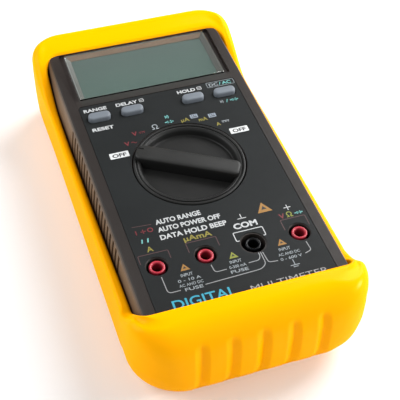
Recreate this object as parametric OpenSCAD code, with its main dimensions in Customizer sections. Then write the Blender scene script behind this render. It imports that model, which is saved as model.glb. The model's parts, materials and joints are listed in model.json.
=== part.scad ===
// Handheld digital multimeter in a soft protective holster.
// Frame: +Z out of the face, +Y towards the display end, +X to the right of the
// display. Origin: centre of the footprint, on the plane it rests on.

/* [Holster] */
// Overall length of the holster along Y
holster_l = 183; // [182:0.5:186]
// Width of the holster's side walls, outside
holster_w = 91.4; // [91:0.2:94]
// Width of the flared chin at its widest level
chin_w = 95.6; // [94.8:0.2:98]
// Height of the long side walls above the table, midway along
side_h = 28; // [25:0.5:30]
// How far the two end lips stand above the face of the meter
lip_h = 3; // [2:0.25:4]
// Y of the lip edge that overlaps the meter's lower end
chin_lip_y = -73.5; // [-76:0.5:-72]
// Y of the lip edge that overlaps the meter's upper end
top_lip_y = 76.6; // [76:0.2:79]

/* [Meter body] */
// Height of the meter's face above the table
face_z = 38; // [37.8:0.1:38.2]
// Width of the meter body at the parting line
body_w = 82.8; // [82:0.1:83]
// Length of the meter body
body_l = 170; // [169:0.1:170]
// Width of the inset face label
label_w = 70.6; // [69:0.1:71]
// Y of the upper edge of the face label
label_top_y = 40.5; // [40:0.1:41]

// Number of grip grooves on each side
grip_n = 19; // [5:1:19]
// Distance between grip grooves
grip_pitch = 3.9; // [3.2:0.1:3.9]
// Y of the first grip groove
grip_y0 = -42; // [-44:0.5:-40]

/* [Display] */
// Width of the clear display window
window_w = 66; // [65:0.1:66]
// Length of the clear display window along Y
window_l = 31; // [30.5:0.1:31]
// Y of the middle of the display
window_y = 60.4; // [60.2:0.1:60.6]
// Width of the visible part of the liquid crystal panel
view_w = 60.8; // [59:0.2:61]
// Length of the visible part of the liquid crystal panel
view_l = 25; // [24:0.2:25.4]

/* [Selector knob] */
// Y of the knob's axis
knob_y = -4.4; // [-5:0.1:-4]
// Radius of the knob
knob_r = 22.9; // [22.5:0.05:23]
// Angle of the pointer at rest, at the first OFF position, from +X
knob_rest = 150; // [147:0.5:157]
// Angle of the whole sweep from one OFF position to the other
knob_sweep = 127; // [120:1:130]
// Number of switch positions
knob_positions = 9; // [7:1:11]
// Height of the grip bar above the face
grip_h = 2.2; // [2:0.1:3]

/* [Push buttons] */
// Y of the row of push buttons
button_y = 31.8; // [31.5:0.1:32.2]
// X of the two outer buttons, either side of the middle
button_x_outer = 28; // [27.5:0.1:28.5]
// X of the two inner buttons, either side of the middle
button_x_inner = 13.6; // [13:0.1:14]
// Width of a button cap
button_w = 9.6; // [9:0.1:9.8]
// Length of a button cap along Y
button_l = 4.3; // [4:0.1:4.4]
// Height of a button cap above the face
button_h = 2; // [1.5:0.1:2.2]

/* [Test lead sockets] */
// Y of the row of sockets
jack_y = -51.7; // [-52:0.1:-51.5]
// Distance between neighbouring sockets
jack_pitch = 19; // [18.8:0.05:19.2]
// Bore of a socket, for a 4 mm plug
jack_bore = 4; // [3.9:0.02:4.1]

/* [Tilt stand] */
// Y of the stand's hinge axis
stand_y = 42; // [40:0.5:43]
// Length of the stand from hinge axis to free end
stand_l = 92; // [80:1:93]
// Width of the stand
stand_w = 59.2; // [56:0.2:59.4]

/* [Hidden] */

yellow = [0.98, 0.78, 0.05];
case_grey = [0.20, 0.20, 0.20];
steel = [0.72, 0.72, 0.70];
brass = [0.80, 0.65, 0.30];
black = [0.06, 0.06, 0.065];
fuse_white = [0.90, 0.89, 0.84];
switch_cream = [0.88, 0.87, 0.80];

body_y = 0.3;            // middle of the meter body
body_z0 = 6.8;           // underside of the meter body
part_z = 21.5;           // parting plane of the two case halves
inner_w = body_w - 5.6;  // hollow of the case
inner_l = body_l - 5.6;
inner_r = 9.6;
wall_z = face_z - 2.4;   // inside of the face wall
boss_top = wall_z + 0.6; // bosses run a little into the face wall
pilot_top = 34;          // blind end of the screws' pilot holes

board_z = 26.7;          // underside of the circuit board
board_top = board_z + 1.6;
gap = 0.05;              // clearance between parts that meet
on_board = board_top + gap;
under_board = board_z - gap;

jack_xs = [for (i = [-1.5:1.5]) i * jack_pitch];
black_x = jack_xs[2];
red_xs = [jack_xs[0], jack_xs[1], jack_xs[3]];
jack_xy = [for (x = jack_xs) [x, jack_y]];
red_xy = [for (x = red_xs) [x, jack_y]];
button_xs = [-button_x_outer, -button_x_inner, button_x_inner, button_x_outer];
case_screw_xy = [[-33.5, -75.5], [33.5, -75.5], [-33.5, 77.2], [33.5, 77.2]];
board_screw_xy = [[-33, 22.5], [33, 22.5], [-33, -32], [33, -32]];
door_screw_xy = [[0, -44.2], [0, 27.2]];

// ---------------------------------------------------------------- shapes

// outline of a rounded rectangle; corners hold [x side, y side, start angle]
function rounded_outline(width, length, radius, steps = 8) = [
  for (corner = [[1, 1, 0], [-1, 1, 90], [-1, -1, 180], [1, -1, 270]])
    for (i = [0:steps])
      let (angle = corner[2] + 90 * i / steps)
        [corner[0] * (width / 2 - radius) + radius * cos(angle),
         corner[1] * (length / 2 - radius) + radius * sin(angle)]];

// prism on a rounded rectangle, its middle at (x, y), from z up by height
module slab(width, length, radius, z, height, y = 0, x = 0, steps = 8)
  translate([x, y, z])
    linear_extrude(height)
      polygon(rounded_outline(width, length, radius, steps));

// thin slabs to hull; stations are [width, length, corner radius, z]
module slices(stations, y = 0)
  for (s = stations)
    slab(s[0], s[1], s[2], s[3], 0.1, y);

// box given by its middle in the plane and its lowest level
module block(width, length, height, x, y, z)
  translate([x - width / 2, y - length / 2, z])
    cube([width, length, height]);

// rods along each axis, from one end to the other
module rod_z(r, z0, z1, x = 0, y = 0, sides = 48)
  translate([x, y, z0])
    cylinder(h = z1 - z0, r = r, $fn = sides);

module rod_x(r, x0, x1, y, z, sides = 32)
  translate([x0, y, z])
    rotate([0, 90, 0])
      cylinder(h = x1 - x0, r = r, $fn = sides);

module rod_y(r, y0, y1, x, z, sides = 32)
  translate([x, y0, z])
    rotate([-90, 0, 0])
      cylinder(h = y1 - y0, r = r, $fn = sides);

// upright rods at each [x, y] of a list
module rods_at(places, r, z0, z1, sides = 48)
  for (p = places)
    rod_z(r, z0, z1, p[0], p[1], sides);

// cross-slotted pan head screws, heads downward, head bottom at z
module pan_screws(places, z, head_r, head_h, shank_r, shank_l)
  for (p = places)
    difference() {
      union() {
        rod_z(head_r, z, z + head_h, p[0], p[1], 32);
        rod_z(shank_r, z + head_h - 0.2, z + head_h + shank_l, p[0], p[1], 24);
      }
      for (angle = [0, 90])
        translate([p[0], p[1], z - 1])
          rotate(angle)
            translate([-head_r * 0.6, -0.3, 0])
              cube([head_r * 1.2, 0.6, 1 + head_h * 0.55]);
    }

// ---------------------------------------------------------------- holster

half_l = holster_l / 2;
lip_top = face_z + lip_h;
chin_start = 52;         // distance from the middle where the chin begins
upper_start = 40;        // the same for the upper end
cavity_z = body_z0 - 0.2;
cavity_w = body_w + 0.6;
stand_z = 2.1;           // hinge axis of the tilt stand
recess_top = 3.8;        // roof of the stand recess
hinge_bore_r = 0.85;
pin_r = 0.8;

// [width, length, corner radius, z]
holster_stations = [
  [holster_w - 11, holster_l - 12, 9, 0],
  [holster_w - 4, holster_l - 5, 12, 1.8],
  [holster_w, holster_l - 1, 14, 7],
  [holster_w, holster_l - 3, 14, side_h + 4]];

// [width, how far the end is drawn in, corner radius, z]
chin_stations = [
  [holster_w - 13, 8, 9, 0],
  [holster_w - 3.4, 2.6, 16, 5],
  [chin_w - 2, 0, 18, 14],
  [chin_w, 3.4, 18, 31],
  [chin_w - 1.6, 5.8, 17.5, lip_top - 3.6],
  [chin_w - 5.4, 9, 15, lip_top - 0.9],
  [chin_w - 9, 12.5, 12, lip_top - 0.1]];
upper_stations = [
  [holster_w - 11, 6, 9, 0],
  [holster_w, 1, 14, 7],
  [holster_w + 2.4, 0, 15, 30],
  [holster_w + 1.6, 0.8, 15, lip_top - 3.6],
  [holster_w - 2.5, 3.4, 13, lip_top - 1],
  [holster_w - 9, 7, 10, lip_top - 0.1]];

// one end of the holster; side is -1 for the chin, 1 for the upper end
module holster_end(stations, start, side)
  hull()
    for (s = stations) {
      end = half_l - s[1];
      slab(s[0], end - start, s[2], s[3], 0.1, side * (end + start) / 2);
    }

module holster_outer() union() {
  hull() slices(holster_stations);
  holster_end(chin_stations, chin_start, -1);
  holster_end(upper_stations, upper_start, 1);
}

// height of the upper edge along Y: the side walls, then a rise at each end
function smooth(t) = t <= 0 ? 0 : t >= 1 ? 1 : t * t * (3 - 2 * t);
function ramp(t) = 0.5 * (max(0, min(1, t)) + smooth(t));
function wall_top(y) = side_h - 1.2 + 3.4 * smooth((40 - y) / 110);
function end_rise(y) = y < -60 ? ramp((-62.5 - y) / 11.5) : smooth((y - 51) / 35);
function edge_z(y) = wall_top(y) + (lip_top + 1 - wall_top(y)) * end_rise(y);

// stations of the edge, close together where it rises
edge_ys = concat(
  [-100],
  [for (i = [0:15]) -74.2 + i * 0.8],
  [for (i = [1:7]) -62.2 + i * 13.5],
  [for (i = [0:18]) 50.8 + i * 1.95],
  [100]);

module holster() color(yellow) difference() {
  holster_outer();
  // everything above the swept upper edge
  translate([-60, 0, 0])
    rotate([90, 0, 90])
      linear_extrude(120)
        polygon(concat([[100, 60], [-100, 60]], [for (y = edge_ys) [y, edge_z(y)]]));
  // room for the meter body
  slab(cavity_w, body_l + 0.4, 12.2, cavity_z, face_z + 0.15 - cavity_z, body_y);
  // opening over the face
  slab(cavity_w, 40 - chin_lip_y, 4, face_z, 20, (40 + chin_lip_y) / 2);
  slab(cavity_w, top_lip_y + 40, 7, face_z, 20, (top_lip_y - 40) / 2);
  // recess for the tilt stand, with a finger notch
  translate([0, stand_y + 2.4 - (stand_l + 6) / 2, -1])
    linear_extrude(recess_top + 1)
      square([stand_w + 0.8, stand_l + 6], center = true);
  rod_z(9, -1, recess_top - 1, 0, stand_y - stand_l - 3);
  // blind holes for the stand's pin
  rod_x(hinge_bore_r, -33.6, 33.6, stand_y, stand_z);
  // shallow finger flutes down the end of the chin
  for (i = [-2:2])
    translate([i * 11.7, 0, 0])
      hull() {
        translate([0, -half_l - 2.4, 11]) cylinder(h = 0.1, r = 3.1, $fn = 32);
        translate([0, -half_l - 0.9, 33]) cylinder(h = 0.1, r = 4, $fn = 32);
      }
}

module tilt_stand() color(yellow * 0.97) difference() {
  half_w = stand_w / 2;
  union() {
    rod_x(1.6, -half_w, half_w, stand_y, stand_z);
    block(stand_w, stand_l, 2.5, 0, stand_y - stand_l / 2, 0.8);
    // foot bead at the free end
    block(stand_w - 8, 2.6, 2.9, 0, stand_y - stand_l + 2.4, 0.5);
  }
  rod_x(hinge_bore_r, -half_w - 1, half_w + 1, stand_y, stand_z);
  // open middle of the leg
  slab(stand_w - 22, stand_l - 36, 6, 0, 5, stand_y - stand_l / 2 - 2);
}

module stand_pin() color(steel)
  rod_x(pin_r, -33.3, 33.3, stand_y, stand_z);

// ---------------------------------------------------------------- case

well_floor = 32.0;            // underside of the knob well
well_top = well_floor + 1.4;
label_bottom_y = -79;         // lower edge of the label's recess
label_y = (label_top_y + label_bottom_y) / 2;
label_l = label_top_y - label_bottom_y;
door_y = -8.5;                // middle of the battery door
opening_y = -8.9;             // middle of the battery's opening

// [narrowing, depth below the face]
front_stations = [[0, 16.45], [0.8, 8], [1.6, 4], [2.1, 2], [2.7, 1.1],
  [3.5, 0.45], [4.5, 0.1]];

// [width, length, corner radius, z]
rear_stations = [
  [body_w - 8, body_l - 8, 9, body_z0],
  [body_w - 3.4, body_l - 3.4, 11, body_z0 + 1.6],
  [body_w - 1.4, body_l - 1.4, 11.6, body_z0 + 5]];

module front_shell() difference() {
  hull()
    for (s = front_stations)
      slab(body_w - s[0], body_l - s[0] - 0.2, 12 - s[0] / 3,
           face_z - s[1], 0.1, body_y, steps = 10);
  slab(inner_w, inner_l, inner_r, part_z - 1, wall_z - part_z + 1, body_y);
}

module front_case() color(case_grey) difference() {
  union() {
    front_shell();
    // knob well
    rod_z(24.9, well_floor, boss_top, 0, knob_y, 72);
    // shroud tubes round the sockets
    rods_at(jack_xy, 5.9, board_top + 1.9, boss_top);
    // screw bosses
    rods_at(case_screw_xy, 3.6, part_z + 0.1, boss_top);
    rods_at(board_screw_xy, 2.8, on_board, boss_top);
  }
  // recess for the face label
  slab(label_w, label_l, 1.6, face_z - 0.3, 1, label_y);
  // shallow surround and opening of the display
  slab(window_w + 4.6, window_l + 1.2, 1.2, face_z - 1.2, 2, window_y);
  slab(window_w + 0.2, window_l + 0.2, 0.8, wall_z - 1, 5, window_y);
  // knob well and its middle hole
  rod_z(knob_r + 0.35, well_top, face_z + 1, 0, knob_y, 96);
  rod_z(5.58, well_floor - 1, well_top + 1, 0, knob_y);
  // openings of the buttons
  for (x = button_xs)
    slab(button_w + 0.3, button_l + 0.3, 1, wall_z - 1, 5, button_y, x, 5);
  // sockets, the black one wider
  rods_at(red_xy, 4.15, board_top, face_z + 1);
  rod_z(4.65, board_top, face_z + 1, black_x, jack_y);
  // eased mouths of the well and of the red sockets
  translate([0, knob_y, face_z - 0.75])
    cylinder(h = 1.05, r1 = knob_r + 0.2, r2 = knob_r + 1.25, $fn = 96);
  for (x = red_xs)
    translate([x, jack_y, face_z - 0.7])
      cylinder(h = 0.8, r1 = 4.1, r2 = 4.8, $fn = 48);
  // grip grooves along both sides, leaning with the wall
  for (side = [-1, 1], i = [0:grip_n - 1])
    translate([side * (body_w / 2 - 0.45), grip_y0 + i * grip_pitch, part_z + 0.6])
      rotate([0, -side * 3.4, 0])
        translate([side * 0.4 - 1, -0.85, 0])
          cube([2, 1.7, 14.2]);
  // pilot holes
  rods_at(case_screw_xy, 1.5, part_z - 1, pilot_top, 24);
  rods_at(board_screw_xy, 1.05, board_top - 1, pilot_top, 24);
}

module rear_shell() difference() {
  hull() {
    slices(rear_stations, body_y);
    slab(body_w, body_l, 12, part_z - 1.15, 1.1, body_y);
  }
  slab(inner_w, inner_l, inner_r, body_z0 + 2, 30, body_y);
}

module rear_case() color(case_grey * 0.95) difference() {
  union() {
    rear_shell();
    rods_at(case_screw_xy, 3.9, body_z0 + 1, part_z - 0.05);
    // ledge frame round the battery opening, with the door's screw bosses
    slab(38.4, 80.4, 3, body_z0 + 1, 3.2, door_y);
    rods_at(door_screw_xy, 2.8, body_z0 + 3, 15.2, 32);
  }
  // battery door pocket and the battery's own opening
  slab(34.2, 76.2, 2, body_z0 - 1, 3.6, door_y);
  slab(28.6, 58.2, 2, body_z0, 8, opening_y);
  // gasket groove in the rim
  difference() {
    slab(body_w - 2.2, body_l - 2.2, 11.2, part_z - 0.85, 2, body_y);
    slab(body_w - 4.2, body_l - 4.2, 10.2, part_z - 2, 4, body_y);
  }
  // holes and head bores of the case screws, pilot holes of the door screws
  rods_at(case_screw_xy, 1.7, body_z0 - 1, part_z + 1, 24);
  rods_at(case_screw_xy, 3.05, body_z0 - 1, 16, 32);
  rods_at(door_screw_xy, 1.05, body_z0 + 2, 14.4, 24);
}

module case_gasket() color(black) difference() {
  slab(body_w - 2.3, body_l - 2.3, 11.15, part_z - 0.8, 0.8, body_y);
  slab(body_w - 4.1, body_l - 4.1, 10.25, part_z - 2, 4, body_y);
}

module case_screws() color(steel)
  pan_screws(case_screw_xy, 13.9, head_r = 2.9, head_h = 2.05, shank_r = 1.45, shank_l = 16);

module battery_door() color(case_grey) difference() {
  slab(33.8, 75.8, 1.8, body_z0 + gap, 1.9, door_y);
  rods_at(door_screw_xy, 1.4, body_z0 - 1, 12, 24);
  rods_at(door_screw_xy, 2.5, body_z0 - 1, body_z0 + 1.25, 32);
}

module battery_door_seal() color(black) difference() {
  slab(33.4, 75.4, 1.6, body_z0 + 1.98, 0.58, door_y);
  slab(30.2, 60.6, 2.2, body_z0, 6, opening_y);
  rods_at(door_screw_xy, 1.4, body_z0 - 1, 12, 24);
}

module battery_door_screws() color(steel)
  pan_screws(door_screw_xy, body_z0 + 0.1, head_r = 2.3, head_h = 1.1, shank_r = 1, shank_l = 5.6);

module face_label() color([0.17, 0.19, 0.195]) difference() {
  slab(label_w - 0.5, label_l - 0.5, 1.4, face_z - 0.28, 0.22, label_y);
  rod_z(knob_r + 0.6, face_z - 2, face_z + 1, 0, knob_y, 96);
  rods_at(jack_xy, 4.95, face_z - 2, face_z + 1);
  for (x = button_xs)
    slab(button_w + 1, button_l + 1, 1.3, face_z - 2, 4, button_y, x, 5);
}

// ---------------------------------------------------------------- display

lcd_z = face_z - 5.2;         // underside of the liquid crystal panel

module display_window() color([0.8, 0.85, 0.86, 0.3])
  slab(window_w, window_l, 0.7, face_z - 1.35, 1.5, window_y, steps = 4);

module display_frame() color([0.58, 0.55, 0.52]) difference() {
  slab(window_w, window_l, 0.9, face_z - 2.6, 1.2, window_y, steps = 4);
  // opening that widens towards the window
  hull() {
    block(view_w, view_l, 0.1, 0, window_y - 0.2, face_z - 2.75);
    block(window_w - 1.4, window_l - 1.4, 0.1, 0, window_y, face_z - 1.35);
  }
}

module lcd_panel() color([0.42, 0.48, 0.44])
  block(view_w + 1.6, view_l + 2.4, 2.5, 0, window_y, lcd_z);

module lcd_holder() color([0.85, 0.85, 0.82]) difference() {
  slab(view_w + 4.6, view_l + 5.8, 1, on_board, face_z - 2.65 - on_board, window_y, steps = 4);
  block(view_w + 2, view_l + 2.8, 20, 0, window_y, board_top + 2);
  block(view_w - 1.4, view_l + 2.8, 20, 0, window_y, board_top - 1);
  // corners cleared for the upper screw bosses
  for (p = [case_screw_xy[2], case_screw_xy[3]])
    rod_z(4.1, board_top - 1, face_z, p[0], p[1], 32);
}

module lcd_connector_strips() color([0.75, 0.55, 0.65])
  for (side = [-1, 1])
    block(view_w - 2.8, 2, lcd_z - gap - on_board,
          0, window_y + side * (view_l / 2 - 0.2), on_board);

// ---------------------------------------------------------------- buttons

flange_z = wall_z - 1.5;      // underside of a button's flange
plunger_z = 31.2;             // lower end of a button's plunger

// cap with a smaller crown, a flange behind the face wall and a plunger
module push_button(x) color([0.50, 0.53, 0.58]) union() {
  cap_z = wall_z - 1;
  cap_top = face_z + button_h;
  slab(button_w, button_l, 0.9, cap_z, cap_top - 0.35 - cap_z, button_y, x, 5);
  slab(button_w - 0.7, button_l - 0.7, 0.6, cap_top - 0.4, 0.4, button_y, x, 5);
  block(button_w + 1.6, button_l + 1.6, 1.3, x, button_y, flange_z);
  block(3, 2.4, flange_z + 0.1 - plunger_z, x, button_y, plunger_z);
}

module button_range() push_button(button_xs[0]);
module button_delay() push_button(button_xs[1]);
module button_hold() push_button(button_xs[2]);
module button_mode() push_button(button_xs[3]);

module keypad_membrane() color([0.55, 0.57, 0.60]) union() {
  block(66, 9, 0.9, 0, button_y, on_board);
  for (x = button_xs)
    rod_z(2.4, board_top + 0.5, 29.9, x, button_y, 32);
}

// ---------------------------------------------------------------- selector

detent_z = 30.5;              // level of the detent balls and springs
bar_top = face_z + grip_h;

// half section of the knob's dish, [radius, z], with a groove in its rim
dish_profile = [
  [0, well_top + 0.3], [knob_r - 0.6, well_top + 0.3], [knob_r, well_top + 0.9],
  [knob_r, face_z - 0.2], [knob_r - 0.35, face_z + 0.15],
  [knob_r - 1.15, face_z + 0.15], [knob_r - 1.3, face_z - 0.3],
  [knob_r - 1.6, face_z - 0.3], [knob_r - 1.75, face_z + 0.05],
  [knob_r - 2.4, face_z - 0.15], [knob_r - 3.3, face_z - 0.9],
  [knob_r - 4, well_top + 1.6], [knob_r - 4.4, well_top + 1.2], [0, well_top + 1.2]];

// on the knob's axis, +X towards the pointer
module at_knob()
  translate([0, knob_y, 0])
    rotate(knob_rest)
      children();

module selector_knob() color([0.215, 0.215, 0.21]) at_knob() difference() {
  union() {
    rotate_extrude($fn = 96) polygon(dish_profile);
    // grip bar across the dish, set off towards the pointer, and its crown
    bar_z = well_top + 0.7;
    slab(2 * knob_r - 2.6, 7.8, 3.5, bar_z, bar_top - 0.8 - bar_z, x = 0.7);
    slab(2 * knob_r - 3.8, 6.6, 2.9, bar_top - 1, 1, x = 0.7);
    // hub and square drive
    rod_z(5.5, 31.85, well_top + 0.6);
    block(7, 7, 4, 0, 0, 28.75);
  }
  // groove of the sealing ring
  difference() {
    rod_z(6, 32.3, 33.2);
    rod_z(4.55, 32, 33.5);
  }
  // pilot hole of the retaining screw
  rod_z(1.05, 28, 34, sides = 24);
  // pointer notch at the tip of the bar
  translate([knob_r - 3.8, -0.4, bar_top - 0.45])
    cube([6, 0.8, 2]);
}

module knob_oring() color(black) at_knob()
  translate([0, 0, 32.75])
    rotate_extrude($fn = 64)
      translate([5.04, 0])
        circle(r = 0.42, $fn = 20);

module knob_screw() color(steel) at_knob()
  pan_screws([[0, 0]], board_top + 0.06, head_r = 2.2, head_h = 0.36, shank_r = 1, shank_l = 3.6);

module switch_rotor() color(switch_cream) at_knob() difference() {
  rod_z(19.5, 29.2, 31.8, sides = 72);
  // socket of the square drive
  block(7.12, 7.12, 10, 0, 0, 25);
  // radial pockets of the detents
  for (angle = [90, 270])
    rotate(angle)
      rod_x(1.08, 13, 21, 0, detent_z);
  // four round holes through the disc
  for (angle = [35, 145, 215, 325])
    rotate(angle)
      rod_z(3.2, 28, 33, 12.5, 0, 32);
}

// flat strips, each with a round ridge below, at four growing radii
module rotor_contacts() color(brass) at_knob()
  for (i = [0:3])
    rotate(90 * i) {
      contact_x = 8 + i * 2.2;
      block(2.4, 5, 0.3, contact_x, 0, 28.86);
      rod_y(0.26, -2.2, 2.2, contact_x, 28.63, 16);
    }

// ring with a notch on both sides for each switch position
module detent_ring() color(switch_cream) translate([0, knob_y, 0]) difference() {
  rod_z(22.6, 29.4, 31.9, sides = 72);
  rod_z(20.3, 29, 33, sides = 72);
  for (i = [0:knob_positions - 1], side = [-90, 90])
    rotate(knob_rest - i * knob_sweep / (knob_positions - 1) + side)
      rod_z(1.2, 29, 33, 20.2, 0, 20);
}

module detent_balls() color(steel) at_knob()
  for (angle = [90, 270])
    rotate(angle)
      translate([18.95, 0, detent_z])
        sphere(r = 1, $fn = 24);

// each spring is a row of separate rings
module detent_springs() color(steel) at_knob()
  for (angle = [90, 270], i = [0:7])
    rotate(angle)
      translate([13.35 + i * 0.62, 0, detent_z])
        rotate([0, 90, 0])
          rotate_extrude($fn = 20)
            translate([0.72, 0])
              circle(r = 0.18, $fn = 14);

// ---------------------------------------------------------------- board

module main_board() color([0.10, 0.38, 0.20]) difference() {
  slab(74, 160, 4, board_z, board_top - board_z, 0.5);
  // corners cleared for the case screw bosses
  rods_at(case_screw_xy, 5.4, 20, 40, 32);
  for (side = [-1, 1]) {
    block(12, 9, 20, side * 38.5, 80, 20);
    block(12, 8, 20, side * 38.5, -78.5, 20);
  }
  // holes for the board screws and sockets
  rods_at(board_screw_xy, 1.3, 20, 40, 24);
  rods_at(jack_xy, 2.62, 20, 40, 32);
}

module board_screws() color(steel)
  pan_screws(board_screw_xy, board_z - 1.35, head_r = 2.1, head_h = 1.3, shank_r = 1, shank_l = 6);

// insulating post of one socket, on a wider foot
module jack_post(x) difference() {
  union() {
    rod_z(3.1, board_top + 0.4, face_z - 0.4, x, jack_y);
    rod_z(5.6, on_board, board_top + 1.7, x, jack_y);
  }
  rod_z(jack_bore / 2 + 0.35, board_top - 1, face_z + 1, x, jack_y);
  rod_z(2.56, board_top - 1, face_z - 2.7, x, jack_y);
}

module jack_posts_red() color([0.80, 0.12, 0.16])
  for (x = red_xs)
    jack_post(x);

module jack_post_black() color(black) jack_post(black_x);

// tubes closed at the bottom, each with a collar under the board
module jack_sockets() color(brass)
  for (x = jack_xs)
    difference() {
      union() {
        rod_z(2.5, 12.5, face_z - 2.8, x, jack_y);
        rod_z(4, board_z - 1.2, under_board, x, jack_y);
      }
      rod_z(jack_bore / 2, 13.6, face_z, x, jack_y);
    }

// large fuse, across the meter
large_y = -68.6;
large_z = 19.2;
large_cap_r = 5.15;
// small fuse, along the meter
small_x = -29;
small_z = 20.4;
small_cap_r = 3.17;

module fuse_large() color(fuse_white) union() {
  rod_x(4.85, -16, 16, large_y, large_z);
  for (x = [-19, 9.5])
    rod_x(large_cap_r, x, x + 9.5, large_y, large_z);
}

module fuse_small() color(fuse_white) union() {
  rod_y(3.0, -22, 6, small_x, small_z);
  for (y = [-24, 1.5])
    rod_y(small_cap_r, y, y + 6.5, small_x, small_z);
}

// spring clip holding one fuse end, closed towards the board by a stem
module clip_profile(r, stem) difference() {
  union() {
    circle(r = r + 0.6, $fn = 40);
    translate([-1.6, 0]) square([3.2, stem]);
  }
  circle(r = r + 0.05, $fn = 40);
  translate([-r - 3, -r - 3]) square([2 * r + 6, r + 0.8]);
}

module fuse_clips() color([0.78, 0.72, 0.45]) {
  for (x = [-16.5, 12])
    translate([x, large_y, large_z])
      rotate([90, 0, 90])
        linear_extrude(4.5)
          clip_profile(large_cap_r, under_board - large_z);
  for (y = [-18.8, 6.8])
    translate([small_x, y, small_z])
      rotate([90, 0, 0])
        linear_extrude(3.8)
          clip_profile(small_cap_r, under_board - small_z);
}

shunt_x = -24;
shunt_z = 19;
shunt_ys = [-60, -45];

// thick resistance wire bent over in a bridge below the board
module current_shunt() color([0.75, 0.60, 0.45]) union() {
  for (y = shunt_ys) {
    rod_z(0.9, shunt_z, under_board, shunt_x, y, 24);
    translate([shunt_x, y, shunt_z]) sphere(r = 1.0, $fn = 24);
  }
  rod_y(0.88, shunt_ys[0], shunt_ys[1], shunt_x, shunt_z, 24);
}

// ---------------------------------------------------------------- battery

battery_l = 46.4;
battery_t = 17;
battery_end_y = -36.5 + battery_l;   // end that carries the terminals
battery_z0 = body_z0 + 2.7;
terminal_z = battery_z0 + battery_t / 2;
terminals = [[6.35, 2.85], [-6.35, 3.85]];   // [x, radius]

module battery() color([0.28, 0.30, 0.36]) union() {
  translate([0, battery_end_y, battery_z0])
    rotate([90, 0, 0])
      linear_extrude(battery_l)
        translate([0, battery_t / 2])
          polygon(rounded_outline(26.4, battery_t, 2, 4));
  for (t = terminals)
    rod_y(t[1], battery_end_y - 0.5, battery_end_y + 2.1, t[0], terminal_z);
}

module battery_snap() color(black) difference() {
  block(25, 4.6, 13, 0, battery_end_y + 2.7, battery_z0 + 2);
  for (t = terminals)
    rod_y(t[1] + 0.3, battery_end_y, battery_end_y + 2.5, t[0], terminal_z);
}

// lead from the snap's back, along, then up to the board
module battery_lead(x) union() {
  start_y = battery_end_y + 5.1;
  bend_y = start_y + 4;
  lead_z = 18;
  rod_y(0.6, start_y, bend_y, x, lead_z, 20);
  translate([x, bend_y, lead_z]) sphere(r = 0.66, $fn = 20);
  rod_z(0.6, lead_z, under_board, x, bend_y, 20);
}

module battery_lead_red() color([0.75, 0.08, 0.08]) battery_lead(8);
module battery_lead_black() color(black) battery_lead(-8);

module battery_pad() color([0.30, 0.30, 0.30])
  block(24, 40, 0.6, 0, -13, body_z0 + 2.03);

// ---------------------------------------------------------------- components
// all of them hang below the board

module buzzer() color(black) difference() {
  rod_z(7, board_z - 5.5, under_board, 27, 6);
  rod_z(0.9, board_z - 7, board_z - 4.6, 27, 6, 24);
}

// square package with ten legs on each side
module main_chip() color(black) union() {
  block(14, 14, 2.2, 0, 55, board_z - 2.5);
  for (i = [0:9], angle = [0, 90, 180, 270])
    translate([0, 55, 0])
      rotate(angle)
        block(0.45, 2.2, 0.4, -5.4 + i * 1.2, 7.6, board_z - 0.5);
}

module quartz_crystal() color(steel)
  rod_x(1.5, 12, 20, 37, board_z - 1.6);

// [radius, depth below the board, x, y]
capacitor_places = [[4, 11, 25, 24], [3.2, 9, -24, 24], [3.2, 9, -24, 34]];

module capacitors() color([0.12, 0.14, 0.22])
  for (c = capacitor_places)
    rod_z(c[0], board_z - c[1], under_board, c[2], c[3], 40);

module surge_absorbers() color([0.15, 0.30, 0.60])
  for (y = [-38, -30])
    block(9, 3.4, 9.5, 25.4, y, under_board - 9.5);

module input_resistors() color([0.60, 0.72, 0.78])
  for (y = [-22, -17, -12])
    rod_x(1.7, 22, 33, y, board_z - 2, 28);

module trimmers() color([0.18, 0.35, 0.70])
  for (y = [70, 62])
    block(6, 6, 3.2, -29, y, under_board - 3.2);

// open box, its mouth towards the board
module shield_can() color(steel) difference() {
  block(46, 34, 8, 0, 57, under_board - 8);
  block(45.2, 33.2, 8, 0, 57, under_board - 7.6);
}

holster();
tilt_stand();
stand_pin();
front_case();
rear_case();
case_gasket();
case_screws();
face_label();
display_window();
display_frame();
lcd_panel();
lcd_holder();
lcd_connector_strips();
button_range();
button_delay();
button_hold();
button_mode();
keypad_membrane();
selector_knob();
knob_oring();
knob_screw();
switch_rotor();
rotor_contacts();
detent_ring();
detent_balls();
detent_springs();
main_board();
board_screws();
jack_posts_red();
jack_post_black();
jack_sockets();
fuse_large();
fuse_small();
fuse_clips();
current_shunt();
battery();
battery_snap();
battery_lead_red();
battery_lead_black();
battery_pad();
battery_door();
battery_door_seal();
battery_door_screws();
buzzer();
main_chip();
quartz_crystal();
capacitors();
surge_absorbers();
input_resistors();
trimmers();
shield_can();
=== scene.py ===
"""Handheld digital multimeter in a yellow holster, lying on its back.

X runs across the meter, +Y towards the display end, -Y towards the sockets, +Z out of the face.
Shapes are worked out in millimetres and scaled to metres as the meshes are made.
"""
import json
import math

import bmesh
import bpy
import numpy as np
from mathutils import Matrix, Vector


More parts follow.
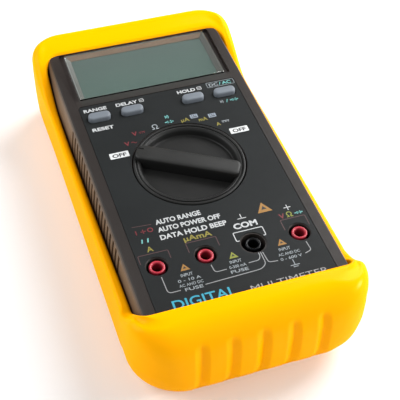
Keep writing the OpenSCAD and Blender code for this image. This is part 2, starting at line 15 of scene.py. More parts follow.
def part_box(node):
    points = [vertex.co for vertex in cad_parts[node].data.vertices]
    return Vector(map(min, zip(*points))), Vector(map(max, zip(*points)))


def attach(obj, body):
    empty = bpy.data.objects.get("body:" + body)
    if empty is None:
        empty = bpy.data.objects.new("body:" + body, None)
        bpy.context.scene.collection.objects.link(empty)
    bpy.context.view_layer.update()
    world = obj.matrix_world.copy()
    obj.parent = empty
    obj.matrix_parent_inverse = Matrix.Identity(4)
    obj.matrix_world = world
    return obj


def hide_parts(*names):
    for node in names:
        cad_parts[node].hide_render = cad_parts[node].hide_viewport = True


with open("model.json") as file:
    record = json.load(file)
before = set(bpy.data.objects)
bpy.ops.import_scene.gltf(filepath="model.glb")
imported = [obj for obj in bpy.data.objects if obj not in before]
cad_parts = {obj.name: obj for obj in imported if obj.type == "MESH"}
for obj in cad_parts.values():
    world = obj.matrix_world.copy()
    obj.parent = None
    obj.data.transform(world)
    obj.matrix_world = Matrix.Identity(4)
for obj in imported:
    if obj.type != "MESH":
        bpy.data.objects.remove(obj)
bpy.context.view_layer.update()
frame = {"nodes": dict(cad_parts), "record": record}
NODES = frame["nodes"]
MM = 0.001


def mm_box(node):
    """low and high corners of a CAD node, in millimetres"""
    low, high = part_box(node)
    return np.array(low) / MM, np.array(high) / MM


# ------------------------------------------------------------------ places from the frame
BODY_LO, BODY_HI = mm_box("front_case")
FACE_Z = BODY_HI[2]
RING_LO, RING_HI = mm_box("detent_ring")
KNOB_Y = (RING_LO[1] + RING_HI[1]) / 2
LABEL_LO, LABEL_HI = mm_box("face_label")
LABEL_TOP = FACE_Z - 0.03
WINDOW_LO, WINDOW_HI = mm_box("display_window")
HOLSTER_TOP = mm_box("holster")[1][2]
STAND_LO, STAND_HI = mm_box("tilt_stand")

JACK_LO, JACK_HI = mm_box("jack_posts_red")
JACK_Y = (JACK_LO[1] + JACK_HI[1]) / 2
JACK_FLANGE_RADIUS = 5.6
JACK_PITCH = (JACK_HI[0] - JACK_LO[0] - 2 * JACK_FLANGE_RADIUS) / 3
JACK_XS = [(-1.5 + i) * JACK_PITCH for i in range(4)]
BLACK_JACK = 2                       # counted from -X

KEYS = []                            # node, body, centre x, centre y
for key_name in ("range", "delay", "hold", "mode"):
    key_lo, key_hi = mm_box("button_" + key_name)
    key_x, key_y = (key_lo[:2] + key_hi[:2]) / 2
    KEYS.append(("button_" + key_name, key_name + "_button", key_x, key_y))


# ------------------------------------------------------------------ shader helpers
def set_inputs(tree, owner, values):
    """link the sockets among the values and store the rest"""
    for key, value in values.items():
        if isinstance(value, bpy.types.NodeSocket):
            tree.links.new(value, owner.inputs[key])
        else:
            owner.inputs[key].default_value = value


def add_node(tree, kind, values=None, **settings):
    made = tree.nodes.new("ShaderNode" + kind)
    for key, value in settings.items():
        setattr(made, key, value)
    set_inputs(tree, made, values or {})
    return made


def new_material(name):
    mat = bpy.data.materials.new(name)
    mat.use_nodes = True
    tree = mat.node_tree
    tree.nodes.clear()
    out = add_node(tree, "OutputMaterial")
    shader = add_node(tree, "BsdfPrincipled")
    tree.links.new(shader.outputs["BSDF"], out.inputs["Surface"])
    return mat, tree, shader, out


def object_coords(tree):
    return add_node(tree, "TexCoord").outputs["Object"]


def noise(tree, scale, detail=3.0, rough=0.5, stretch=(1, 1, 1), turn=0.0):
    """noise in object space; stretch scales its axes and turn rotates it about z"""
    mapping = add_node(tree, "Mapping", {
        "Vector": object_coords(tree), "Scale": stretch, "Rotation": (0, 0, turn)})
    made = add_node(tree, "TexNoise", {
        "Scale": scale, "Detail": detail, "Roughness": rough,
        "Vector": mapping.outputs["Vector"]})
    return made.outputs["Fac"]


def ramp(tree, factor, stops):
    """colour ramp through (position, colour) stops"""
    made = add_node(tree, "ValToRGB", {"Fac": factor})
    elements = made.color_ramp.elements
    for i in (0, -1):
        elements[i].position = stops[i][0]
        elements[i].color = (*stops[i][1], 1)
    for position, color in stops[1:-1]:
        elements.new(position).color = (*color, 1)
    return made.outputs["Color"]


def remap(tree, value, to, span=(0.3, 0.7), **settings):
    """map the span of the value onto another range"""
    made = add_node(tree, "MapRange", {
        "Value": value, "From Min": span[0], "From Max": span[1],
        "To Min": to[0], "To Max": to[1]}, **settings)
    return made.outputs["Result"]


def mix(tree, factor, first, second, **settings):
    """mix two colours, each a socket or an rgb triple"""
    colors = [c if isinstance(c, bpy.types.NodeSocket) else (*c, 1) for c in (first, second)]
    # 0, 6 and 7 are the factor and the two colour sockets
    made = add_node(tree, "Mix", {0: factor, 6: colors[0], 7: colors[1]},
                    data_type="RGBA", **settings)
    return made.outputs[2]


def bump(tree, height, strength, distance, over=None):
    """bump of a distance in metres, laid over an earlier normal if given"""
    values = {"Height": height, "Strength": strength, "Distance": distance}
    if over is not None:
        values["Normal"] = over
    return add_node(tree, "Bump", values).outputs["Normal"]


def split(tree, vector):
    return add_node(tree, "SeparateXYZ", {"Vector": vector}).outputs


def convex_edges_mask(tree, amount, span=(0.5, 0.56)):
    """mask of the convex edges; a smaller amount saturates sooner"""
    pointiness = add_node(tree, "NewGeometry").outputs["Pointiness"]
    edges = remap(tree, pointiness, to=(0.0, 1.0), span=span)
    return remap(tree, edges, to=(0, amount), span=(0, 1))


# ------------------------------------------------------------------ materials
def plastic(name, color, rough=0.45, grain=0.25, grain_scale=2600, vary=0.10, spec=0.4,
            wear=0.25, low=None, painted_side_shade=None, lip_reflection=None):
    """moulded plastic

    low: (start z, end z, shade), painted shade: darkened by the shade factor below these heights
    in mm
    steep: painted shade, the factor that darkens the upright sides
    slope: painted reflection, the warm colour of the yellow lip given to the faces leaning
    towards -Y
    """
    mat, tree, shader, _ = new_material(name)
    color = np.array(color)
    tone = ramp(tree, noise(tree, scale=34, detail=4, rough=0.55),
                [(0.3, color * (1 - vary)), (0.7, np.minimum(color * (1 + vary), 1))])
    # painted shade: below the given heights the colour is darkened, standing in for shade in the
    # hollows
    if low:
        start, end, shade = low
        height = split(tree, object_coords(tree))["Z"]
        depth = remap(tree, height, to=(1.0, 0.0), span=(start * MM, end * MM))
        tone = mix(tree, depth, tone, (shade, shade, shade), blend_type="MULTIPLY")
    if painted_side_shade or lip_reflection:
        normal = split(tree, add_node(tree, "NewGeometry").outputs["Normal"])
    # painted shade: the upright sides darkened, standing in for their shade
    if painted_side_shade:
        sides = remap(tree, normal["Z"], to=(1.0, 0.0), span=(0.25, 0.75))
        tone = mix(tree, sides, tone, color * painted_side_shade)
    # painted reflection: faces tilted towards -Y take a warm colour, the yellow lip reflected in
    # them
    if lip_reflection:
        leaning = remap(tree, normal["Y"], to=(1.0, 0.0), span=(-0.45, -0.15))
        tone = mix(tree, leaning, tone, lip_reflection)
    if wear:
        tone = mix(tree, convex_edges_mask(tree, wear), tone, np.minimum(color * 1.5 + 0.015, 1))
    patches = noise(tree, scale=210, detail=4, rough=0.6)
    fine = bump(tree, noise(tree, scale=grain_scale, detail=2, rough=0.6),
                strength=grain, distance=0.00006)
    set_inputs(tree, shader, {
        "Base Color": tone,
        "Roughness": remap(tree, patches, to=(rough - 0.06, rough + 0.06)),
        "Specular IOR Level": spec,
        "Coat Roughness": 0.15,
        "Normal": bump(tree, noise(tree, scale=60, detail=2), strength=0.02,
                       distance=0.0003, over=fine)})
    return mat


def metal(name, color, rough):
    mat, tree, shader, _ = new_material(name)
    color = np.array(color)
    brushed = noise(tree, scale=900, stretch=(1, 1, 8))
    set_inputs(tree, shader, {
        "Base Color": ramp(tree, noise(tree, scale=60, detail=4, rough=0.6),
                           [(0.3, color * 0.85), (0.7, np.minimum(color * 1.08, 1))]),
        "Metallic": 1.0,
        "Roughness": remap(tree, brushed, to=(rough - 0.08, rough + 0.12)),
        "Normal": bump(tree, brushed, strength=0.3, distance=0.00003)})
    return mat


def holster_material():
    """soft yellow, with painted light: its convex edges painted a paler yellow, so the hollows
    stay a deeper orange
    """
    mat, tree, shader, _ = new_material("holster_soft_yellow")
    base = np.array([0.98, 0.402, 0.0])
    tone = ramp(tree, noise(tree, scale=22, detail=4),
                [(0.25, base * np.array([1, 0.965, 1])), (0.75, base)])
    # painted light: the convex edges paler yellow, standing in for light on the edges and shade
    # in the hollows
    tone = mix(tree, convex_edges_mask(tree, 0.25, span=(0.50, 0.58)), tone, (0.98, 0.46, 0.002))
    fine = bump(tree, noise(tree, scale=3400, detail=2, rough=0.6),
                strength=0.12, distance=0.00004)
    set_inputs(tree, shader, {
        "Base Color": tone,
        "Roughness": remap(tree, noise(tree, scale=320, detail=5, rough=0.6), to=(0.27, 0.38)),
        "Specular IOR Level": 0.0,
        "Metallic": 0.02,
        "Coat Weight": 0.075,
        "Coat Roughness": 0.18,
        "Normal": bump(tree, noise(tree, scale=40), strength=0.05, distance=0.0005,
                       over=fine)})
    return mat


def case_material():
    """charcoal moulding; its upright sides painted a warm brown, a painted reflection of the
    yellow holster walls
    """
    mat, tree, shader, _ = new_material("case_charcoal")
    patches = noise(tree, scale=34, detail=4, rough=0.55)
    face = ramp(tree, patches, [(0.3, (0.0115, 0.0080, 0.0070)),
                                (0.7, (0.0138, 0.0098, 0.0087))])
    # painted reflection: the upright sides tinted warm brown, the yellow holster walls reflected
    # in them
    side = ramp(tree, patches, [(0.3, (0.118, 0.077, 0.047)),
                                (0.7, (0.142, 0.093, 0.057))])
    geometry = add_node(tree, "NewGeometry").outputs
    normal = split(tree, geometry["Normal"])
    position = split(tree, geometry["Position"])
    # cooler band across the middle of the face: y in metres, colour
    band = ramp(tree, position["Y"], [
        (0.0395, (0.0128, 0.0090, 0.0080)), (0.0398, (0.0100, 0.0122, 0.0108)),
        (0.0412, (0.0110, 0.0130, 0.0118)), (0.0420, (0.0150, 0.0162, 0.0145)),
        (0.0470, (0.0150, 0.0158, 0.0142)), (0.0475, (0.0128, 0.0090, 0.0080))])
    across = add_node(tree, "Math", {0: position["X"]}, operation="ABSOLUTE").outputs[0]
    within = remap(tree, across, to=(1.0, 0.0), span=(0.0325, 0.0335))
    face = mix(tree, within, face, band)
    # the walls of the wells and openings keep the face's colour, without the painted reflection
    dark = add_node(tree, "Math", {
        0: remap(tree, normal["Z"], to=(0.0, 1.0), span=(0.25, 0.75)),
        1: remap(tree, across, to=(1.0, 0.0), span=(0.0352, 0.0368))}, operation="MAXIMUM")
    tone = mix(tree, dark.outputs[0], side, face)
    tone = mix(tree, convex_edges_mask(tree, 0.3), tone, (0.045, 0.04, 0.036))
    fine = bump(tree, noise(tree, scale=2400, detail=2, rough=0.6),
                strength=0.5, distance=0.00006)
    set_inputs(tree, shader, {
        "Base Color": tone,
        "Roughness": remap(tree, noise(tree, scale=210, detail=4, rough=0.6), to=(0.42, 0.54)),
        "Specular IOR Level": 0.2,
        "Normal": bump(tree, noise(tree, scale=60, detail=2), strength=0.02,
                       distance=0.0003, over=fine)})
    return mat


def blend_transparent(tree, factor, shader, out):
    """send the output a mix of the shader and a transparent one"""
    clear = add_node(tree, "BsdfTransparent")
    blend = add_node(tree, "MixShader", {
        "Fac": factor, 1: shader.outputs["BSDF"], 2: clear.outputs["BSDF"]})
    tree.links.new(blend.outputs["Shader"], out.inputs["Surface"])


def clear_material():
    """clear plastic with fine scratches, letting shadow rays through"""
    mat, tree, shader, out = new_material("window_clear")
    scratches = noise(tree, scale=40, detail=6, stretch=(60, 1.5, 1), turn=0.6)
    set_inputs(tree, shader, {
        "Base Color": (0.93, 0.96, 0.95, 1),
        "Transmission Weight": 1.0,
        "IOR": 1.49,
        "Roughness": remap(tree, noise(tree, scale=500, detail=4, rough=0.7),
                           to=(0.015, 0.07)),
        "Normal": bump(tree, scratches, strength=0.03, distance=0.00002)})
    shadow = add_node(tree, "LightPath").outputs["Is Shadow Ray"]
    blend_transparent(tree, shadow, shader, out)
    return mat


def lcd_material():
    """grey-green, with painted shade that darkens it towards -Y, and speckled"""
    mat, tree, shader, _ = new_material("lcd_grey_green")
    # painted shade: the colour darkens towards -Y
    along = remap(tree, split(tree, object_coords(tree))["Y"],
                  to=(0.0, 1.0), span=(0.048, 0.074))
    tone = mix(tree, along, (0.040, 0.062, 0.053), (0.049, 0.065, 0.059))
    speckle = noise(tree, scale=4200, detail=2)
    set_inputs(tree, shader, {
        "Base Color": mix(tree, remap(tree, speckle, to=(0.0, 0.10)), tone,
                          (0.07, 0.09, 0.085)),
        "Roughness": 0.38,
        "Specular IOR Level": 0.2,
        "Normal": bump(tree, speckle, strength=0.12, distance=0.00002)})
    return mat


def ink(name, color):
    mat, tree, shader, _ = new_material(name)
    color = np.array(color)
    patches = noise(tree, scale=900, rough=0.6)
    set_inputs(tree, shader, {
        "Base Color": ramp(tree, patches, [(0.3, color * 0.86), (0.6, color)]),
        "Roughness": remap(tree, patches, to=(0.42, 0.58)),
        "Specular IOR Level": 0.3,
        "Normal": bump(tree, noise(tree, scale=2400, detail=2), strength=0.1,
                       distance=0.00001)})
    return mat


# by material slot
MATERIALS = {
    "holster_yellow": holster_material(),
    "stand_yellow": plastic("stand_yellow", (0.95, 0.375, 0.001), rough=0.42, vary=0.04,
                            wear=0.15, spec=0.2),
    "case_charcoal": case_material(),
    "label_print": plastic("label_film", (0.0124, 0.0138, 0.0141), rough=0.52, grain=0.2,
                           grain_scale=3000, spec=0.10, wear=0.0),
    # painted shade: the dish and rim below the bar's top darkened, and the bar's upright sides
    # darkened too
    "knob_charcoal": plastic("knob_charcoal", (0.0205, 0.0205, 0.0197), rough=0.42,
                             grain=0.35, spec=0.17, wear=0.12,
                             low=(FACE_Z + 0.2, FACE_Z + 0.8, 0.56), painted_side_shade=0.42),
    "button_grey": plastic("button_grey", (0.122, 0.138, 0.158), rough=0.48,
                           grain_scale=2400, spec=0.3, wear=0.3),
    # painted shade: the red posts darkened inside their bores, below the face
    "jack_red": plastic("jack_red", (0.36, 0.018, 0.034), rough=0.34, grain=0.1, spec=0.45,
                        wear=0.2, low=(FACE_Z - 1.8, FACE_Z - 0.5, 0.35)),
    "jack_black": plastic("jack_black", (0.0022, 0.0024, 0.003), rough=0.24, grain=0.1,
                          spec=0.15, wear=0.05),
    "steel": metal("steel", (0.62, 0.61, 0.59), rough=0.30),
    "brass": metal("brass", (0.72, 0.52, 0.20), rough=0.26),
    "seal_black": plastic("seal_black", (0.012, 0.012, 0.012), rough=0.62, grain=0.4,
                          spec=0.3),
    # painted reflection: the faces tilted towards -Y take a warm brown, the yellow lip reflected
    # in them
    "bezel_grey": plastic("bezel_grey", (0.056, 0.055, 0.050), rough=0.36, grain=0.1,
                          grain_scale=1800, spec=0.25, wear=0.3,
                          lip_reflection=(0.125, 0.082, 0.056)),
    "acetal_white": plastic("acetal_white", (0.74, 0.72, 0.64), rough=0.40, grain=0.1,
                            spec=0.45),
    "board_green": plastic("board_green", (0.015, 0.11, 0.045), rough=0.30, grain=0.35,
                           grain_scale=700, vary=0.25, spec=0.5),
    "fuse_ceramic": plastic("fuse_ceramic", (0.72, 0.70, 0.62), rough=0.25, grain=0.1,
                            spec=0.5),
    "battery_jacket": plastic("battery_jacket", (0.07, 0.085, 0.12), rough=0.28, grain=0.1,
                              spec=0.5),
    "lead_red": plastic("lead_red", (0.45, 0.01, 0.01), rough=0.4, grain=0.1),
    "foam_grey": plastic("foam_grey", (0.07, 0.07, 0.07), rough=0.9, grain=1.0,
                         grain_scale=900, spec=0.1),
    "component_black": plastic("component_black", (0.010, 0.010, 0.011), rough=0.5,
                               grain=0.4, spec=0.35),
    "component_blue": plastic("component_blue", (0.02, 0.08, 0.35), rough=0.3, grain=0.1,
                              spec=0.5),
    "resistor_blue": plastic("resistor_blue", (0.25, 0.42, 0.52), rough=0.35, grain=0.1,
                             spec=0.5),
    "elastomer_pink": plastic("elastomer_pink", (0.45, 0.22, 0.30), rough=0.6, grain=0.2,
                              spec=0.3),
    "window_clear": clear_material(),
    "lcd_glass": lcd_material(),
}
# slots that share another slot's material
for shared_slot, own_slot in (
        ("component_can", "steel"), ("shield_tin", "steel"), ("shunt_alloy", "brass"),
        ("membrane_grey", "seal_black"), ("holder_white", "acetal_white"),
        ("capacitor_blue", "battery_jacket"), ("snap_black", "component_black")):
    MATERIALS[shared_slot] = MATERIALS[own_slot]

INK = {
    "white": ink("ink_white", (0.44, 0.45, 0.455)),
    "bright": ink("ink_bright", (0.56, 0.57, 0.57)),
    "thin": ink("ink_thin", (0.25, 0.255, 0.26)),
    "red": ink("ink_red", (0.135, 0.017, 0.022)),
    "teal": ink("ink_teal", (0.13, 0.36, 0.345)),
    "yellow": ink("ink_yellow", (0.20, 0.17, 0.03)),
    "amber": ink("ink_amber", (0.27, 0.135, 0.03)),
    "green": ink("ink_lime", (0.19, 0.205, 0.03)),
    "blue": ink("ink_blue", (0.03, 0.27, 0.38)),
    "maroon": ink("ink_maroon", (0.062, 0.030, 0.031)),
    "dark": ink("ink_dark", (0.02, 0.02, 0.02)),
    "pale": ink("ink_pale", (0.24, 0.265, 0.28)),
    "slate": ink("ink_slate", (0.21, 0.245, 0.29)),
}


# ------------------------------------------------------------------ mesh helpers
# A shape is a pair: an array of points in mm and a list of faces.
def mesh_from(name, shape):
    verts, faces = shape
    mesh = bpy.data.meshes.new(name)
    mesh.from_pydata([tuple(float(c) * MM for c in point) for point in verts], [], faces)
    return mesh


def link_object(name, data):
    made = bpy.data.objects.new(name, data)
    bpy.context.scene.collection.objects.link(made)
    return made


def edit_normals(mesh, angle=None):
    """turn the normals outwards; with an angle, smooth all but the edges sharper than it"""
    edit = bmesh.new()
    edit.from_mesh(mesh)
    bmesh.ops.recalc_face_normals(edit, faces=edit.faces[:])
    if angle is not None:
        limit = math.radians(angle)
        for face in edit.faces:
            face.smooth = True
        for edge in edit.edges:
            sharp = len(edge.link_faces) == 2 and edge.calc_face_angle(0) > limit
            edge.smooth = not sharp
    edit.to_mesh(mesh)
    edit.free()


def add_piece(name, mesh, body, slot, replaces, angle, mat=None):
    edit_normals(mesh, angle)
    piece = link_object(name, mesh)
    mesh.materials.append(mat or MATERIALS[slot])
    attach(piece, body)
    if replaces:
        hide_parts(*replaces)


def make(name, shape, body, slot, replaces=(), angle=32, mat=None):
    mesh = mesh_from(name, shape)
    mesh.validate()
    mesh.update()
    add_piece(name, mesh, body, slot, replaces, angle, mat)


def make_union(name, parts, cutters, body, slot, replaces, angle):
    """join the closed parts, then cut the cutters out of them"""
    solids = []
    for i, shape in enumerate(parts + cutters):
        mesh = mesh_from(f"tmp{i}", shape)
        edit_normals(mesh)
        solids.append(link_object(f"tmp{i}", mesh))
    base = solids[0]
    for i, solid in enumerate(solids[1:], 1):
        boolean = base.modifiers.new("b", "BOOLEAN")
        boolean.operation = "UNION" if i < len(parts) else "DIFFERENCE"
        boolean.solver = "EXACT"
        boolean.object = solid
    graph = bpy.context.evaluated_depsgraph_get()
    mesh = bpy.data.meshes.new_from_object(base.evaluated_get(graph))
    for solid in solids:
        bpy.data.objects.remove(solid)
    mesh.name = name
    mesh.materials.clear()
    add_piece(name, mesh, body, slot, replaces, angle)


def loft(loops, ring=False):
    """skin loops of equal count: capped at both ends, or joined last to first as a ring"""
    count = len(loops[0])
    last = len(loops) - 1
    faces = []
    for k in range(len(loops) if ring else last):
        near = k * count
        far = (k + 1) % len(loops) * count
        for i in range(count):
            j = (i + 1) % count
            faces.append((near + i, near + j, far + j, far + i))
    if not ring:
        faces.append(tuple(range(count - 1, -1, -1)))
        faces.append(tuple(range(last * count, len(loops) * count)))
    return np.concatenate(loops), faces


def at_z(points, z):
    return np.c_[points, np.full(len(points), z, float)]


def rounded_rect(width, length, radius, steps, x=0.0, y=0.0):
    """points round a rectangle centred on x, y; steps per corner"""
    points = []
    for sx, sy, start in ((1, 1, 0), (-1, 1, 90), (-1, -1, 180), (1, -1, 270)):
        for i in range(steps + 1):
            turn = math.radians(start + 90 * i / steps)
            points.append((x + sx * (width / 2 - radius) + radius * math.cos(turn),
                           y + sy * (length / 2 - radius) + radius * math.sin(turn)))
    return np.array(points)


def stack(rows, steps, x, y):
    """loft of rounded rectangles; rows of z, width, length, corner radius"""
    return loft([at_z(rounded_rect(width, length, radius, steps, x, y), z)
                 for z, width, length, radius in rows])


def revolve(profile, steps, x=0.0, y=0.0, ring=False):
    """turn (radius, z) points about the upright line through x, y"""
    turn = np.linspace(0, 2 * math.pi, steps, endpoint=False)
    circle = np.c_[np.cos(turn), np.sin(turn)]
    return loft([at_z((x, y) + radius * circle, z) for radius, z in profile], ring)


def merge(shapes):
    verts, faces, offset = [], [], 0
    for points, polygons in shapes:
        verts.append(np.asarray(points, float))
        faces += [tuple(i + offset for i in polygon) for polygon in polygons]
        offset += len(points)
    return np.concatenate(verts), faces


def smooth(t):
    t = np.clip(t, 0.0, 1.0)
    return t * t * (3 - 2 * t)


# ------------------------------------------------------------------ holster
# The chin is its -Y end and the crown its +Y end. Every loop is one outline with the same
# points in the same order: chin, right side (+X), crown, left side (-X).
LIP_CHIN_Y, LIP_CROWN_Y = -73.5, 76.6
LIP_HALF = 41.7
CAVITY_HALF = 41.6
CAVITY_GAP = 0.2                     # beyond the case, at each end
CAVITY_RADIUS = 12.2
CHIN_COUNT, CROWN_COUNT, CORNER_COUNT = 141, 61, 20
SIDE_END = 76.5
SIDE_Y = np.unique(np.concatenate([
    np.arange(-SIDE_END, -57, 0.6), np.arange(-56.7, 47, 2.6),
    np.arange(48, 76.6, 0.95), [SIDE_END]]))
SIDE_LOW, SIDE_HIGH = -55, 40        # the side points stretch beyond these

# z, half widths at chin, sides and crown, chin y, crown y, corner radii at chin and crown
WALL_TABLE = np.array([
    (0, 39.0, 40.4, 40.4, -79.6, 84.6, 12.5, 9.0),
    (0.35, 40.8, 41.9, 41.9, -80.8, 86.3, 14.6, 10.5),
    (1.2, 42.2, 43.3, 43.3, -82.2, 88.0, 16.6, 12),
    (2.5, 43.1, 44.4, 44.5, -83.5, 89.3, 17.8, 13),
    (4.2, 43.9, 45.2, 45.4, -85.1, 90.1, 19.0, 14),
    (6.5, 44.9, 45.65, 46.0, -87.1, 90.5, 20.2, 14.6),
    (9.5, 45.8, 45.7, 46.3, -89.2, 90.7, 20.4, 15),
    (14, 46.6, 45.7, 46.6, -90.9, 90.9, 19.6, 15),
    (20, 47.0, 45.7, 46.8, -91.1, 91.2, 18.7, 15),
    (26, 46.9, 45.65, 46.9, -90.8, 91.4, 18.2, 15),
    (31.5, 46.8, 45.6, 46.9, -90.4, 91.5, 18.2, 15),
    (36, 46.6, 45.6, 46.9, -90.4, 91.5, 18.1, 15),
])
UNDERSIDE_LEVELS = (0.0, 0.12, 0.35, 0.7, 1.2, 1.8, 2.5, 3.3, 4.2, 5.3, 6.5, 8.0)
WALL_START = 8.0
WALL_STEPS, ROUND_STEPS = 22, 16
RECESS_WIDTH = STAND_HI[0] - STAND_LO[0] + 0.8
RECESS_LENGTH = 98.0
RECESS_Y = 44.4 - RECESS_LENGTH / 2
NOTCH_RADIUS = 9
FLUTE_PITCH, FLUTE_HALF, FLUTE_DEPTH = 11.7, 3.0, 1.55


def edge_height(y):
    """height of the holster's upper edge along y"""
    wall = 26.8 + 3.4 * smooth((40 - y) / 110) + 0.85 * np.exp(-((y - 14) / 30) ** 2)
    t = np.clip((-62.5 - y) / 11.5, 0, 1)
    chin = wall + (HOLSTER_TOP - wall) * 0.5 * (t + smooth(t))
    crown = wall + (HOLSTER_TOP - wall) * smooth((y - 51.0) / 34.0)
    return np.where(y < -20, chin, crown)


def outline(chin, side, crown, y_chin, y_crown, r_chin, r_crown, bow=0.0):
    """closed curve from half widths, end places and corner radii: points and normals"""
    points, normals = [], []

    def straight(x, y, normal):
        points.append(np.c_[x, y])
        normals.append(np.tile(normal, (len(x), 1)))

    def corner(x, y, radius, start):
        turn = np.radians(np.linspace(start, start + 90, CORNER_COUNT + 2)[1:-1])
        normal = np.c_[np.cos(turn), np.sin(turn)]
        points.append((x, y) + radius * normal)
        normals.append(normal)

    low, high = y_chin + r_chin, y_crown - r_crown
    y = SIDE_Y.copy()
    part = y < SIDE_LOW
    y[part] = SIDE_LOW + (y[part] - SIDE_LOW) * (low - SIDE_LOW) / (-SIDE_END - SIDE_LOW)
    part = y > SIDE_HIGH
    y[part] = SIDE_HIGH + (y[part] - SIDE_HIGH) * (high - SIDE_HIGH) / (SIDE_END - SIDE_HIGH)
    x = (side + (chin - side) * smooth((-58.6 - y) / 6.5)
         + (crown - side) * smooth((y - 44.0) / 30.0))
    x = x + bow * smooth((y + 66) / 60) * smooth((70 - y) / 40)

    chin_x, crown_x = chin - r_chin, crown - r_crown
    straight(np.linspace(-chin_x, chin_x, CHIN_COUNT), np.full(CHIN_COUNT, y_chin), [0, -1])
    corner(chin_x, low, r_chin, -90)
    straight(x, y, [1, 0])
    corner(crown_x, high, r_crown, 0)
    straight(np.linspace(crown_x, -crown_x, CROWN_COUNT), np.full(CROWN_COUNT, y_crown),
             [0, 1])
    corner(-crown_x, high, r_crown, 90)
    straight(-x[::-1], y[::-1], [-1, 0])
    corner(-chin_x, low, r_chin, 180)
    return np.concatenate(points), np.concatenate(normals)


def wall_outline(z):
    return outline(*[np.interp(z, WALL_TABLE[:, 0], column) for column in WALL_TABLE.T[1:]])


GRID_Z = np.linspace(0, 37, 149)
WALL_GRID = np.stack([wall_outline(z)[0] for z in GRID_Z])


def wall_points(heights):
    """wall outline with each point at its own height"""
    i = np.clip(np.searchsorted(GRID_Z, heights) - 1, 0, len(GRID_Z) - 2)
    t = ((heights - GRID_Z[i]) / (GRID_Z[i + 1] - GRID_Z[i]))[:, None]
    index = np.arange(WALL_GRID.shape[1])
    return WALL_GRID[i, index] * (1 - t) + WALL_GRID[i + 1, index] * t


def lip(grow):
    """inner edge of the lips, grown outwards"""
    half = LIP_HALF + grow
    return outline(half, half, half, LIP_CHIN_Y - grow, LIP_CROWN_Y + grow,
                   4 + grow, 7 + grow, bow=0.55)[0]


def cavity(grow):
    half = CAVITY_HALF + grow
    return outline(half, half, half, BODY_LO[1] - CAVITY_GAP - grow,
                   BODY_HI[1] + CAVITY_GAP + grow, CAVITY_RADIUS, CAVITY_RADIUS, bow=0.3)[0]


def recess_rim():
    """rim of the stand recess, sampled by direction from its centre"""
    away = wall_outline(0)[0] - np.array([0, RECESS_Y])
    scale = np.minimum(RECESS_WIDTH / 2 / np.maximum(abs(away[:, 0]), 1e-9),
                       RECESS_LENGTH / 2 / np.maximum(abs(away[:, 1]), 1e-9))
    rim = np.c_[away[:, 0] * scale, RECESS_Y + away[:, 1] * scale]
    # curved notch in the middle of its -Y edge
    low_edge = rim[:, 1] < RECESS_Y - RECESS_LENGTH / 2 + 0.01
    part = low_edge & (abs(rim[:, 0]) < NOTCH_RADIUS)
    rim[part, 1] -= np.sqrt(np.maximum(NOTCH_RADIUS ** 2 - rim[part, 0] ** 2, 0)) * 0.8
    return rim


def flute(points, normals, z):
    """sink the five concave flutes into the chin's end"""
    groove = np.zeros(len(points))
    for k in range(-2, 3):
        across = (points[:, 0] - FLUTE_PITCH * k) / FLUTE_HALF
        section = (1 - np.minimum(np.abs(across), 1) ** 1.15) ** 1.25
        groove = np.maximum(groove, section)
    fade = smooth((35.6 - z) / 3.2) * smooth((z - 3.4) / 11.0)
    fluted = points.copy()
    fluted[:, 1] += np.where(normals[:, 1] < -0.999, FLUTE_DEPTH * groove * fade, 0)
    return np.c_[fluted, z]


def outer_loops():
    """outer wall and its rounded upper edge"""
    middle, normals = wall_outline(26)
    y = middle[:, 1]
    chin = y < 0
    height = np.where(chin, 0.45 * edge_height(y) + 0.55 * edge_height(lip(0.0)[:, 1]),
                      edge_height(y))
    # how far the rounding reaches in and down, growing towards the ends
    near_chin = smooth((-61.5 - y) / 11.0)
    near_crown = smooth((y - 54.0) / 26.0)
    end_share = normals[:, 1] ** 2
    inset = 1.7 + 1.5 * near_chin + 1.8 * near_crown
    inset = inset + (np.where(chin, 13.2, 5.8) - inset) * end_share
    drop = 1.7 + 3.2 * near_chin + 3.4 * near_crown
    drop = drop + (np.where(chin, 15.5, 5.8) - drop) * end_share

    loops = []
    wall_top = height - drop
    for k in range(1, WALL_STEPS + 1):
        z = WALL_START + (wall_top - WALL_START) * k / WALL_STEPS
        loops.append(flute(wall_points(z), normals, z))
    top_points = wall_points(wall_top)
    for k in range(1, ROUND_STEPS + 1):
        turn = math.radians(90 * k / ROUND_STEPS)
        points = top_points - normals * (inset * (1 - math.cos(turn)))[:, None]
        loops.append(flute(points, normals, wall_top + drop * math.sin(turn)))
    return loops


def inner_loops(crest):
    """from the crest over the lips and down into the cavity"""
    loops = []
    outer_lip = lip(1.1)
    for t in (0.35, 0.7):
        points = crest[:, :2] * (1 - t) + outer_lip * t
        z = crest[:, 2] * (1 - t) + edge_height(outer_lip[:, 1]) * t
        held = np.minimum(z, edge_height(points[:, 1]))
        loops.append(np.c_[points, z * 0.5 + held * 0.5])
    # rounded lip edge: growth, depth below the edge height
    for grow, depth in ((1.1, 0.04), (0.65, 0.16), (0.28, 0.42), (0.06, 0.85), (0.0, 1.3)):
        points = lip(grow)
        loops.append(np.c_[points, edge_height(points[:, 1]) - depth])
    # underside of the lip: growth, height above the face, least depth below the edge
    for grow, rise, depth in ((0.0, 0.45, 1.7), (0.3, 0.2, 1.9)):
        points = lip(grow)
        z = np.minimum(FACE_Z + rise, edge_height(points[:, 1]) - depth)
        loops.append(np.c_[points, z])
    inside = cavity(0)
    inside_z = np.minimum(FACE_Z + 0.2, edge_height(inside[:, 1]) - 2.2)
    loops.append(np.c_[(points + inside) / 2, (z + inside_z) / 2])
    loops.append(np.c_[inside, inside_z])
    for grow, z in ((0, 20.0), (0, 8.5), (-0.6, 7.2), (-2.0, 6.6)):
        loops.append(at_z(cavity(grow), z))
    return loops


